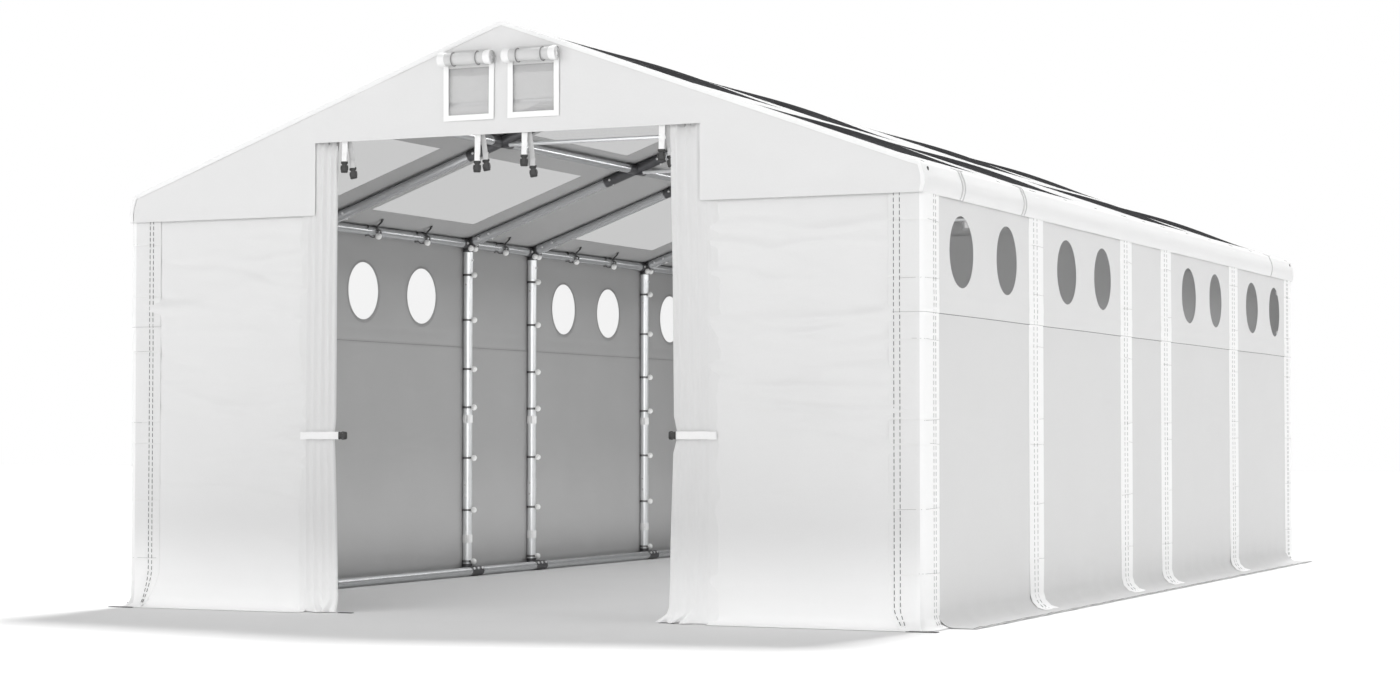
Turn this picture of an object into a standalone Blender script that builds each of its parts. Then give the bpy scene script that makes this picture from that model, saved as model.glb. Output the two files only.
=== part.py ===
"""Marquee tent, 5 m wide and 9 m long, as separate solids in metres.

The tent stands on z = 0 with its middle at the origin. Its door end faces -Y,
its length runs along Y and its ridge is over x = 0. Steel tubes carry a roof
cover with clear panes, two gables, side walls with round windows, end walls
and gathered door curtains.
"""
import math

import bmesh
import bpy
from mathutils import Matrix, Vector

# Clearance between pieces that touch
GAP = 0.0003

# Main sizes of the tent
HALF_WIDTH = 2.5
HALF_LENGTH = 4.5
RIDGE_Z = 3.357
EAVE_Z = 2.456
DROP_Z = 2.296
SLOPE = (RIDGE_Z - EAVE_Z) / HALF_WIDTH
PITCH = math.atan(SLOPE)

# Fabric
FABRIC = 0.004
FOIL = 0.002
RIDGE_RADIUS = 0.04
EAVE_RADIUS = 0.03
CORNER_RADIUS = 0.04
RIDGE_STEPS = 3
EAVE_STEPS = 4
CORNER_STEPS = 4
WALL_TOP_Z = 2.42
SLEEVE_WIDTH = 0.19
SIDE_SKIRT = 0.22
END_SKIRT = 0.10
SKIRT_HEM = 0.06
SKIRT_STEPS = 5

# Steel frame
TUBE = 0.033
SLEEVE_TUBE = 0.0315
THIN_TUBE = 0.0135
RAIL_TUBE = 0.031
RAIL_CROSS_TUBE = 0.030
TUBE_OVERLAP = 0.017
TUBE_SIDES = 12
THIN_SIDES = 8
FRAME_Y = (-4.455, -2.5, -0.5, 0.5, 2.5, 4.455)
POST_X = HALF_WIDTH - FABRIC - FOIL - 2 * GAP - TUBE
POST_TOP_Z = 2.20
RAFTER_DROP = (FABRIC + FOIL + 2 * GAP + TUBE) / math.cos(PITCH)
RAFTER_SOCKET = 0.15
MID_PURLIN_X = 1.10
TIE_Z = 2.90
FOOT_HALF = 0.06
FOOT_THICK = 0.005

# Door end
DOOR_HALF = 1.225
DOOR_TOP_Z = 2.717
PANEL_EDGE_X = 1.28
PANEL_TOP_Z = 2.40
CURTAIN_TOP_Z = 2.76
CURTAIN_INNER = ((0.0, 1.02), (0.45, 1.045), (0.92, 1.07), (1.02, 1.10), (1.12, 1.08), (1.9, 1.075),
                 (CURTAIN_TOP_Z, 1.06))
CURTAIN_DEPTH = 0.06
CURTAIN_SIDES = 12
TIE_BACK_X = (1.004, 1.322)
TIE_BACK_Z = (0.998, 1.043)
TIE_BACK_THICK = 0.003

# Vents in the gables
VENT_X = 0.206
VENT_HALF = 0.133
VENT_Z = (2.83, 3.10)
SCREEN_MARGIN = 0.03
BLIND_RADIUS = 0.04
BLIND_HALF = 0.1775
BLIND_Z = 3.146
BLIND_SIDES = 16

# Windows
ROUND_RADIUS = 0.197
ROUND_Z = 2.014
ROUND_OFFSET = 0.395
ROUND_SIDES = 24
ROUND_MARGIN = 0.06
HOLE_REACH = 0.1
PANE_X = ((0.15, 1.02), (1.375, 2.25))
PANE_END_MARGIN = 0.30
PANE_SHEET_X = (0.08, 2.32)
PANE_SHEET_Y = 4.22

# Shortest gap between frames that has windows
WINDOW_BAY = 1.5

# Colours, linear, and finishes
WHITE_FABRIC = (0.80, 0.80, 0.80, 1.0)
CLEAR_FOIL = (0.55, 0.57, 0.58, 1.0)
GALVANISED = (0.55, 0.56, 0.57, 1.0)
MESH_GREY = (0.55, 0.55, 0.55, 1.0)
FABRIC_ROUGHNESS = 0.6
FOIL_ROUGHNESS = 0.2
STEEL_ROUGHNESS = 0.35

BAYS = [(a, b) for a, b in zip(FRAME_Y[:-1], FRAME_Y[1:]) if b - a > WINDOW_BAY]


def clear_scene():
    for obj in list(bpy.data.objects):
        bpy.data.objects.remove(obj, do_unlink=True)


def new_collection(name):
    collection = bpy.data.collections.new(name)
    bpy.context.scene.collection.children.link(collection)
    return collection


def new_material(name, colour, roughness, metallic):
    material = bpy.data.materials.new(name)
    material.use_nodes = True
    shader = material.node_tree.nodes["Principled BSDF"]
    shader.inputs["Base Color"].default_value = colour
    shader.inputs["Roughness"].default_value = roughness
    shader.inputs["Metallic"].default_value = metallic
    return material


clear_scene()
TENT = new_collection("marquee_tent")
CUTTERS = new_collection("cutters")


def place(name, bm, colour, roughness=FABRIC_ROUGHNESS, metallic=0.0):
    """Turn a bmesh into a named piece of the tent with its own material."""
    mesh = bpy.data.meshes.new(name)
    bm.to_mesh(mesh)
    bm.free()
    obj = bpy.data.objects.new(name, mesh)
    mesh.materials.append(new_material(name, colour, roughness, metallic))
    TENT.objects.link(obj)
    return obj


def guide(name, bm):
    """Turn a bmesh into a helper solid for a Boolean."""
    mesh = bpy.data.meshes.new(name)
    bm.to_mesh(mesh)
    bm.free()
    obj = bpy.data.objects.new(name, mesh)
    obj.hide_render = True
    obj.display_type = "WIRE"
    CUTTERS.objects.link(obj)
    return obj


def boolean(obj, operand, operation):
    modifier = obj.modifiers.new(operation.lower(), "BOOLEAN")
    modifier.operation = operation
    modifier.solver = "EXACT"
    modifier.use_self = True
    modifier.object = operand


def add_rod(bm, start, end, radius=TUBE, sides=TUBE_SIDES):
    """Add a closed round bar between two points."""
    start = Vector(start)
    axis = Vector(end) - start
    turn = Vector((0.0, 0.0, 1.0)).rotation_difference(axis).to_matrix().to_4x4()
    matrix = Matrix.Translation(start + axis / 2) @ turn
    bmesh.ops.create_cone(bm, cap_ends=True, segments=sides, radius1=radius, radius2=radius,
                          depth=axis.length, matrix=matrix)


def add_box(bm, low, high):
    low = Vector(low)
    size = Vector(high) - low
    matrix = Matrix.Translation(low + size / 2) @ Matrix.Diagonal((*size, 1.0))
    bmesh.ops.create_cube(bm, size=1.0, matrix=matrix)


def fused(name, bars, boxes=()):
    """Fuse steel bars, each a start, an end, a radius and a number of sides, and boxes."""
    base = bmesh.new()
    add_rod(base, *bars[0])
    rest = bmesh.new()
    for bar in bars[1:]:
        add_rod(rest, *bar)
    for low, high in boxes:
        add_box(rest, low, high)
    obj = place(name, base, GALVANISED, STEEL_ROUGHNESS, 1.0)
    boolean(obj, guide(name + "_rest", rest), "UNION")


def rafter_z(x):
    """Height of a rafter's axis."""
    return RIDGE_Z - RAFTER_DROP - SLOPE * abs(x)


def roof_line(inset):
    """Section of the roof, drop to drop, moved inwards by an inset, as (x, z) points."""
    side_x = HALF_WIDTH + GAP + FABRIC
    centre_z = RIDGE_Z - RIDGE_RADIUS / math.cos(PITCH)
    ridge = []
    for step in range(RIDGE_STEPS + 1):
        angle = PITCH * (1 - step / RIDGE_STEPS)
        radius = RIDGE_RADIUS - inset
        ridge.append((radius * math.sin(angle), centre_z + radius * math.cos(angle)))
    eave_x = side_x - EAVE_RADIUS
    eave_z = RIDGE_Z - SLOPE * eave_x - EAVE_RADIUS / math.cos(PITCH)
    eave = []
    for step in range(EAVE_STEPS + 1):
        angle = PITCH + (math.pi / 2 - PITCH) * step / EAVE_STEPS
        radius = EAVE_RADIUS - inset
        eave.append((eave_x + radius * math.sin(angle), eave_z + radius * math.cos(angle)))
    half = list(reversed(ridge)) + eave + [(side_x - inset, DROP_Z)]
    return [(-x, z) for x, z in reversed(half[1:])] + half


def pane_spans():
    """Ends of the clear roof panes along the tent."""
    return [(a + PANE_END_MARGIN, b - PANE_END_MARGIN) for a, b in BAYS]


def in_spans(value, spans):
    return any(a < value < b for a, b in spans)


def make_post(side_name, side, number):
    y = FRAME_Y[number - 1]
    x = side * POST_X
    bar = ((x, y, FOOT_THICK / 2), (x, y, POST_TOP_Z - GAP), TUBE, TUBE_SIDES)
    plate = ((x - FOOT_HALF, y - FOOT_HALF, 0.0), (x + FOOT_HALF, y + FOOT_HALF, FOOT_THICK))
    fused(f"post_{side_name}_{number}", [bar], [plate])


def make_roof_frame(number):
    """Two rafters, their tie and the ridge and middle purlins that run to the next frame."""
    y = FRAME_Y[number - 1]
    end_x = POST_X - (RAFTER_SOCKET + GAP) * math.cos(PITCH)
    ridge = (0.0, y, rafter_z(0.0))
    bars = [(ridge, (side * end_x, y, rafter_z(end_x)), TUBE, TUBE_SIDES) for side in (-1, 1)]
    tie_x = MID_PURLIN_X
    bars.append(((-tie_x, y, TIE_Z), (tie_x, y, TIE_Z), THIN_TUBE, THIN_SIDES))
    if number < len(FRAME_Y):
        reach_y = FRAME_Y[number] - TUBE - GAP
    else:
        reach_y = y + TUBE
    ridge_z = rafter_z(0.0)
    bars.append(((0.0, y - TUBE, ridge_z), (0.0, reach_y, ridge_z), SLEEVE_TUBE, TUBE_SIDES))
    if number < len(FRAME_Y):
        for side in (-1, 1):
            x = side * MID_PURLIN_X
            bars.append(((x, y, rafter_z(x)), (x, reach_y, rafter_z(x)), SLEEVE_TUBE, TUBE_SIDES))
    fused(f"roof_frame_{number}", bars)


def make_eave_purlin(side_name, side):
    """Eave tube with a socket down to each post and up to each rafter."""
    x = side * POST_X
    z = rafter_z(x)
    end_y = FRAME_Y[-1] + TUBE_OVERLAP
    bars = [((x, -end_y, z), (x, end_y, z), TUBE, TUBE_SIDES)]
    socket_x = x - side * RAFTER_SOCKET * math.cos(PITCH)
    for y in FRAME_Y:
        bars.append(((x, y, z), (x, y, POST_TOP_Z), SLEEVE_TUBE, TUBE_SIDES))
        bars.append(((x, y, z), (socket_x, y, rafter_z(socket_x)), SLEEVE_TUBE, TUBE_SIDES))
    fused(f"eave_purlin_{side_name}", bars)


def make_base_rail():
    """Floor tube along both sides and the back, lying on the foot plates."""
    inset = TUBE + GAP + RAIL_TUBE
    x = POST_X - inset
    y = FRAME_Y[-1] - inset
    z = FOOT_THICK + GAP + RAIL_TUBE
    front_y = FRAME_Y[0] - FOOT_HALF / 2
    end_y = y + TUBE_OVERLAP
    bars = [((-x, front_y, z), (-x, end_y, z), RAIL_TUBE, TUBE_SIDES),
            ((-x, y, z), (x, y, z), RAIL_CROSS_TUBE, TUBE_SIDES),
            ((x, front_y, z), (x, end_y, z), RAIL_TUBE, TUBE_SIDES)]
    fused("base_rail", bars)


def make_roof_cover():
    """Roof sheet with its eave drops and its openings for the clear panes."""
    points = roof_line(0.0)
    for pane in PANE_X:
        for edge in pane:
            for side in (-1, 1):
                points.append((side * edge, RIDGE_Z - SLOPE * edge))
    points.sort(key=lambda point: (point[0], point[1] if point[0] < 0 else -point[1]))
    spans = pane_spans()
    end_y = HALF_LENGTH + GAP + FABRIC
    stations = sorted([-end_y, end_y] + [y for span in spans for y in span])
    bm = bmesh.new()
    rows = [[bm.verts.new((x, y, z)) for x, z in points] for y in stations]
    for row, (y0, y1) in enumerate(zip(stations[:-1], stations[1:])):
        open_bay = in_spans((y0 + y1) / 2, spans)
        for column, (a, b) in enumerate(zip(points[:-1], points[1:])):
            if open_bay and in_spans(abs(a[0] + b[0]) / 2, PANE_X):
                continue
            bm.faces.new((rows[row][column], rows[row][column + 1],
                          rows[row + 1][column + 1], rows[row + 1][column]))
    obj = place("roof_cover", bm, WHITE_FABRIC)
    thicken(obj)


def thicken(obj):
    """Give an outer surface the fabric's thickness, inwards."""
    modifier = obj.modifiers.new("fabric", "SOLIDIFY")
    modifier.thickness = FABRIC
    modifier.offset = -1.0
    modifier.use_even_offset = True


def outline(name, rings, y, thickness, colour):
    """Flat upright plate from rings of (x, z) points, its faces at y and y + thickness."""
    curve = bpy.data.curves.new(name, "CURVE")
    curve.dimensions = "2D"
    curve.fill_mode = "BOTH"
    curve.extrude = thickness / 2
    for ring in rings:
        spline = curve.splines.new("POLY")
        spline.points.add(len(ring) - 1)
        for point, (x, z) in zip(spline.points, ring):
            point.co = (x, z, 0.0, 1.0)
        spline.use_cyclic_u = True
    curve.materials.append(new_material(name, colour, FABRIC_ROUGHNESS, 0.0))
    obj = bpy.data.objects.new(name, curve)
    obj.rotation_euler = (math.pi / 2, 0.0, 0.0)
    obj.location = (0.0, y + thickness / 2, 0.0)
    TENT.objects.link(obj)


def rectangle(x0, x1, z0, z1):
    return [(x0, z0), (x1, z0), (x1, z1), (x0, z1)]


def make_gable(end_name, end):
    """Upright end of the roof with the door's cut-out and two vent openings."""
    cut_out = [(DOOR_HALF, DROP_Z), (DOOR_HALF, DOOR_TOP_Z), (-DOOR_HALF, DOOR_TOP_Z), (-DOOR_HALF, DROP_Z)]
    ring = roof_line(FABRIC + GAP) + cut_out
    vents = [rectangle(x - VENT_HALF, x + VENT_HALF, *VENT_Z) for x in (-VENT_X, VENT_X)]
    inner = end * (HALF_LENGTH + GAP)
    outer = end * (HALF_LENGTH + GAP + FABRIC)
    outline(f"gable_{end_name}", [ring] + vents, min(inner, outer), FABRIC, WHITE_FABRIC)


def make_vent_screen(end_name, end):
    half = VENT_X + VENT_HALF + SCREEN_MARGIN
    ring = rectangle(-half, half, VENT_Z[0] - SCREEN_MARGIN, VENT_Z[1] + SCREEN_MARGIN)
    outer = end * HALF_LENGTH
    inner = end * (HALF_LENGTH - FOIL)
    outline(f"vent_screens_{end_name}", [ring], min(inner, outer), FOIL, MESH_GREY)


def make_vent_blind(end_name, end, side_name, x):
    """Rolled-up flap above a vent."""
    y = end * (HALF_LENGTH + 2 * GAP + FABRIC + BLIND_RADIUS)
    bm = bmesh.new()
    add_rod(bm, (x - BLIND_HALF, y, BLIND_Z), (x + BLIND_HALF, y, BLIND_Z), BLIND_RADIUS, BLIND_SIDES)
    place(f"vent_blind_{end_name}_{side_name}", bm, WHITE_FABRIC)


def skirt_profile(reach, top_z):
    """Upright sheet that curves out onto the floor, as (outward, z) points from the top."""
    bend = reach - SKIRT_HEM
    profile = [(0.0, top_z), (0.0, bend + FABRIC)]
    for step in range(1, SKIRT_STEPS + 1):
        angle = math.pi / 2 * step / SKIRT_STEPS
        profile.append((bend * (1 - math.cos(angle)), FABRIC + bend * (1 - math.sin(angle))))
    profile.append((reach, FABRIC))
    return profile


def sweep_wall(name, stations, top_z):
    """Sheet wall through stations of (x, y, outward angle, skirt reach)."""
    bm = bmesh.new()
    rows = []
    for x, y, angle, reach in stations:
        out = Vector((math.cos(angle), math.sin(angle), 0.0))
        foot = Vector((x, y, 0.0))
        rows.append([bm.verts.new(foot + out * away + Vector((0.0, 0.0, z)))
                     for away, z in skirt_profile(reach, top_z)])
    for left, right in zip(rows[:-1], rows[1:]):
        for level in range(len(left) - 1):
            bm.faces.new((left[level], left[level + 1], right[level + 1], right[level]))
    obj = place(name, bm, WHITE_FABRIC)
    thicken(obj)
    return obj


def corner_stations(side, end):
    """Rounded tent corner, from the end wall to the side wall."""
    centre_x = side * (HALF_WIDTH - CORNER_RADIUS)
    centre_y = end * (HALF_LENGTH - CORNER_RADIUS)
    stations = []
    for step in range(CORNER_STEPS + 1):
        share = step / CORNER_STEPS
        turn = math.pi / 2 * share
        out_x = side * math.sin(turn)
        out_y = end * math.cos(turn)
        reach = END_SKIRT + (SIDE_SKIRT - END_SKIRT) * share
        stations.append((centre_x + CORNER_RADIUS * out_x, centre_y + CORNER_RADIUS * out_y,
                         math.atan2(out_y, out_x), reach))
    return stations


def round_window_centres():
    return [(a + b) / 2 + shift for a, b in BAYS for shift in (-ROUND_OFFSET, ROUND_OFFSET)]


def make_side_wall(side_name, side):
    """Side wall with its sleeves round both corners and its round window holes."""
    sleeve_x = side * (HALF_WIDTH - SLEEVE_WIDTH)
    front = [(sleeve_x, -HALF_LENGTH, -math.pi / 2, END_SKIRT)] + corner_stations(side, -1)
    back = list(reversed(corner_stations(side, 1))) + [(sleeve_x, HALF_LENGTH, math.pi / 2, END_SKIRT)]
    stations = front + back
    if side < 0:
        stations.reverse()
    obj = sweep_wall(f"side_wall_{side_name}", stations, WALL_TOP_Z)
    holes = bmesh.new()
    x = side * HALF_WIDTH
    for y in round_window_centres():
        start = (x - HOLE_REACH, y, ROUND_Z)
        end = (x + HOLE_REACH, y, ROUND_Z)
        add_rod(holes, start, end, ROUND_RADIUS, ROUND_SIDES)
    boolean(obj, guide(f"side_wall_{side_name}_holes", holes), "DIFFERENCE")


def make_wall_windows(side_name, side):
    """Clear foil behind the round windows of one side wall."""
    outer = HALF_WIDTH - FABRIC - GAP
    reach_y = round_window_centres()[-1] + ROUND_RADIUS + ROUND_MARGIN
    half_z = ROUND_RADIUS + ROUND_MARGIN
    xs = sorted((side * outer, side * (outer - FOIL)))
    bm = bmesh.new()
    add_box(bm, (xs[0], -reach_y, ROUND_Z - half_z), (xs[1], reach_y, ROUND_Z + half_z))
    place(f"wall_windows_{side_name}", bm, CLEAR_FOIL, FOIL_ROUGHNESS)


def make_roof_windows(side_name, side):
    """Clear foil under the roof cover on one slope."""
    bm = bmesh.new()
    add_box(bm, (PANE_SHEET_X[0] / math.cos(PITCH), -PANE_SHEET_Y, -FOIL),
            (PANE_SHEET_X[1] / math.cos(PITCH), PANE_SHEET_Y, 0.0))
    down = (FABRIC + GAP) / math.cos(PITCH)
    if side < 0:
        bmesh.ops.rotate(bm, matrix=Matrix.Rotation(math.pi, 3, "Z"), verts=bm.verts)
    bmesh.ops.rotate(bm, matrix=Matrix.Rotation(side * PITCH, 3, "Y"), verts=bm.verts)
    bmesh.ops.translate(bm, vec=(0.0, 0.0, RIDGE_Z - down), verts=bm.verts)
    place(f"roof_windows_{side_name}", bm, CLEAR_FOIL, FOIL_ROUGHNESS)


def make_end_panel(end_name, end, side_name, side):
    """End wall panel between a corner sleeve and the door."""
    angle = end * math.pi / 2
    outer_x = side * (HALF_WIDTH - SLEEVE_WIDTH - GAP)
    inner_x = side * PANEL_EDGE_X
    y = end * HALF_LENGTH
    stations = [(inner_x, y, angle, END_SKIRT), (outer_x, y, angle, END_SKIRT)]
    if side * end > 0:
        stations.reverse()
    sweep_wall(f"{end_name}_wall_{side_name}", stations, PANEL_TOP_Z)


def make_back_door():
    """Closed door sheet in the middle of the back wall."""
    x = PANEL_EDGE_X - GAP
    angle = math.pi / 2
    stations = [(x, HALF_LENGTH, angle, END_SKIRT), (-x, HALF_LENGTH, angle, END_SKIRT)]
    sweep_wall("back_door", stations, CURTAIN_TOP_Z)


def squared(value):
    """Push a sine or cosine outwards, so that a ring is a rounded rectangle."""
    return math.copysign(math.sqrt(abs(value)), value)


def make_door_curtain(side_name, side):
    """Gathered door curtain as one soft column, narrower where it is tied."""
    outer_x = PANEL_EDGE_X - GAP
    bm = bmesh.new()
    rings = []
    for z, inner_x in CURTAIN_INNER:
        middle = (inner_x + outer_x) / 2
        half = (outer_x - inner_x) / 2
        ring = []
        for step in range(CURTAIN_SIDES):
            angle = 2 * math.pi * (step + 0.5) / CURTAIN_SIDES
            flat = squared(math.cos(angle))
            deep = squared(math.sin(angle))
            x = side * (middle + half * flat)
            y = -HALF_LENGTH + CURTAIN_DEPTH / 2 * (1 + deep)
            ring.append(bm.verts.new((x, y, z)))
        rings.append(ring)
    for low, high in zip(rings[:-1], rings[1:]):
        for step in range(CURTAIN_SIDES):
            after = (step + 1) % CURTAIN_SIDES
            bm.faces.new((low[step], low[after], high[after], high[step]))
    bm.faces.new(rings[0])
    bm.faces.new(rings[-1])
    bmesh.ops.recalc_face_normals(bm, faces=bm.faces)
    place(f"door_curtain_{side_name}", bm, WHITE_FABRIC)


def make_tie_back(side_name, side):
    """Strap that holds a door curtain to its side."""
    xs = sorted(side * x for x in TIE_BACK_X)
    front = -HALF_LENGTH - GAP
    bm = bmesh.new()
    add_box(bm, (xs[0], front - TIE_BACK_THICK, TIE_BACK_Z[0]), (xs[1], front, TIE_BACK_Z[1]))
    place(f"tie_back_{side_name}", bm, WHITE_FABRIC)


SIDES = (("left", -1), ("right", 1))
ENDS = (("front", -1), ("back", 1))

for side_word, side_sign in SIDES:
    for frame_number in range(1, len(FRAME_Y) + 1):
        make_post(side_word, side_sign, frame_number)
    make_eave_purlin(side_word, side_sign)
    make_side_wall(side_word, side_sign)
    make_wall_windows(side_word, side_sign)
    make_roof_windows(side_word, side_sign)
    make_door_curtain(side_word, side_sign)
    make_tie_back(side_word, side_sign)

for frame_number in range(1, len(FRAME_Y) + 1):
    make_roof_frame(frame_number)

make_base_rail()
make_roof_cover()
make_back_door()

for end_word, end_sign in ENDS:
    make_gable(end_word, end_sign)
    make_vent_screen(end_word, end_sign)
    for side_word, side_sign in SIDES:
        make_vent_blind(end_word, end_sign, side_word, side_sign * VENT_X)
        make_end_panel(end_word, end_sign, side_word, side_sign)
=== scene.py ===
"""Marquee tent: cloth, steel frame, fittings and studio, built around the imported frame.

Units are metres. The ridge runs along Y over x = 0, the door end faces -Y and the
floor is z = 0. A cloth is a surface of two running sizes, u across and w up or along.
"""

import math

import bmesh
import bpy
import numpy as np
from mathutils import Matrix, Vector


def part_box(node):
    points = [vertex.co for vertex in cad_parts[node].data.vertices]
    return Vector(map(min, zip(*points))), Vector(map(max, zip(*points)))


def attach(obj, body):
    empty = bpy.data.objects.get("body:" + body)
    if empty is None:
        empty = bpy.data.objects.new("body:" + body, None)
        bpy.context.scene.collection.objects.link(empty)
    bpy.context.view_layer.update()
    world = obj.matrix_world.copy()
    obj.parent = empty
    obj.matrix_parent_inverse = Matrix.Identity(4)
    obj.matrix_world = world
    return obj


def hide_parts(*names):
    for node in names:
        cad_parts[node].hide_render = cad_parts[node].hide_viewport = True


bl_info = {
    "name": "Marquee Tent",
    "version": (1, 0, 0),
    "blender": (4, 5, 0),
    "location": "3D View > Sidebar > Tent",
    "description": "Cloth, steel frame, fittings and studio of a marquee tent",
    "category": "Object",
}

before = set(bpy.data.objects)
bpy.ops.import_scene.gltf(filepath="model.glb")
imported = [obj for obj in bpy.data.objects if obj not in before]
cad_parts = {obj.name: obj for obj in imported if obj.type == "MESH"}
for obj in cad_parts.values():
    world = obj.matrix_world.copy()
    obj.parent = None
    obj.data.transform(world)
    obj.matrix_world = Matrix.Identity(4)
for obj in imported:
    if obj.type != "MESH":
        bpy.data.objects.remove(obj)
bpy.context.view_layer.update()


def middle(node):
    low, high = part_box(node)
    return (low + high) / 2


SIDES = (("left", -1), ("right", 1))
ENDS = (("front", -1), ("back", 1))

# The frame's own sizes
FRAME_Y = [middle(f"post_left_{number}").y for number in range(1, 7)]
BAYS = list(zip(FRAME_Y[:-1], FRAME_Y[1:]))
LONG_BAY = 1.5
POST_X = middle("post_right_1").x
POST_TOP_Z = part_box("post_right_2")[1].z
DROP_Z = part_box("roof_cover")[0].z
HALF_WIDTH = 2.5
HALF_LENGTH = 4.5
RIDGE_Z = 3.357
SLOPE = 0.3604
PITCH = math.atan(SLOPE)
COS_PITCH = math.cos(PITCH)
SIN_PITCH = math.sin(PITCH)
TUBE = 0.033
SLEEVE = 0.036
SPLICE = 0.0344
TIE_TUBE = 0.0135
RAIL_TUBE = 0.031
MID_PURLIN_X = 1.10
TIE_Z = 2.90
ROOF_LAYERS = 0.0066
AXIS_DROP = (ROOF_LAYERS + TUBE) / COS_PITCH

# Collars, sleeves, bolts and ties on the frame, the lengths measured along a tube
NODE_SHIFTS = (-0.035, 0.03)
POST_TIE_Z = (0.105, 0.48, 0.86, 1.23, 1.51, 1.87, 2.20)
PLATE_BOLT_REACH = 0.053
PLATE_BOLT_TURNS = (0.8, 2.35, 3.9, 5.5)
FOOT_COLLAR = 0.085
SPLICE_FOOT_Z = 0.503
SPLICE_LENGTH = 0.194
POST_BOLT_Z = (0.58, 0.665, 2.13)
WRAP_Z = (0.27, 1.145)
WRAP_HEIGHT = 0.06
RAFTER_SLEEVE = 0.25
PURLIN_SLEEVE = 0.11
EAVE_SLEEVE = 0.10
RAIL_COUPLER = 0.085
RAIL_BOLT_SHIFTS = (-0.06, 0.0, 0.06)

# Cloth edges
SEAM_Z = 1.667
WALL_TOP_Z = 2.42
WALL_END_Y = 4.27
SLEEVE_SIDE_Y = 4.24
FOLD_END_Y = 4.35
SLEEVE_FRONT_X = 2.31
CORNER_RADIUS = 0.04
SIDE_HEM = 0.13
END_HEM = 0.05
SIDE_BEND = 0.09
END_BEND = 0.04
SLEEVE_BEND = 0.058
FLOOR_GAP = 0.004
BAND_WIDTH = 0.28
BAND_Y = (-2.515, -0.545, 0.475, 2.47)
DOOR_HALF = 1.225
DOOR_TOP_Z = 2.717
PANEL_EDGE_X = 1.28
END_WALL_TOP_Z = 2.40
DOOR_CLOTH_Z = 2.76
SLEEVE_STRAIGHT = HALF_LENGTH - CORNER_RADIUS - SLEEVE_SIDE_Y
SLEEVE_ARC = CORNER_RADIUS * math.pi / 2
SLEEVE_LENGTH = SLEEVE_STRAIGHT + SLEEVE_ARC + HALF_WIDTH - CORNER_RADIUS - SLEEVE_FRONT_X
CREASE_Z = (0.27, 0.62, 0.98, 1.12, 1.52, 1.83, 2.14)
CREASE_HALF = 0.0035
EAVE_RADIUS = 0.03
RIDGE_ROUND = 0.01
PIPING_Y = (-3.93, -3.885, -2.83, -2.785, 3.69)

# Windows and vents
ROUND_RADIUS = 0.197
ROUND_Z = 2.014
ROUND_OFFSET = 0.395
PANE_X = ((0.15, 1.02), (1.375, 2.25))
PANE_END_MARGIN = 0.30
VENT_X = middle("vent_blind_front_right").x
VENT_HALF = 0.133
VENT_Z = (2.83, 3.10)
ROLL_Z = middle("vent_blind_front_right").z

# Door: inner edge of each curtain as (height, x); a black plate at each curtain's foot, then a black
# strip under each corner sleeve as painted shadow where it meets the floor, both as (x, half width,
# front, back, top);
# straps as (x, length of the front one, length of the one behind)
CURTAIN_INNER = {-1: ((0.0, 1.070), (0.45, 1.080), (0.92, 1.095), (1.02, 1.10), (1.12, 1.09),
    (1.9, 1.088), (DOOR_CLOTH_Z, 1.082)), 1: ((0.0, 0.942), (0.02, 0.975), (0.045, 1.015), (0.08, 1.032),
    (0.2, 1.038), (0.45, 1.042), (0.92, 1.058), (1.02, 1.085), (1.12, 1.062), (1.9, 1.054),
    (DOOR_CLOTH_Z, 1.035))}
FOOT_PLATE_AND_SHADE = ((1.02, 0.045, 0.008, -0.028, 0.004), (2.52, 0.085, 0.098, 0.050, 0.0038))
STRAPS = {-1: ((0.155, 0.153, 0.146), (1.03, 0.12, 0.157)),
    1: ((0.145, 0.131, 0.193), (0.995, 0.137, 0.172))}

# Looks of the surfaces; over EDGE_ON a foil turns from its face to its edge
WRINKLE_STRETCH = (1.0, 3.0, 1.0)
WRINKLE_RATE = 5.0
THREAD_SHARE = 0.12
GRAIN_RATE = 90.0
CLOUD_RATE = 2.2
EDGE_ON = (0.90, 0.97)

# The photograph's camera
CAMERA_PLACE = (7.2819, -17.8675, 1.0103)
CAMERA_YAW = 24.388
CAMERA_PITCH = 1.848
CAMERA_LENS = 69.62
SENSOR_WIDTH = 36.0

# Directions that the lights come from
KEY_DIRECTION = (-0.02, 0.59, 1.0)
SIDE_DIRECTION = (1.0, 0.05, 0.13)
FILL_DIRECTION = (-0.30, -1.0, 0.22)


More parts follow.
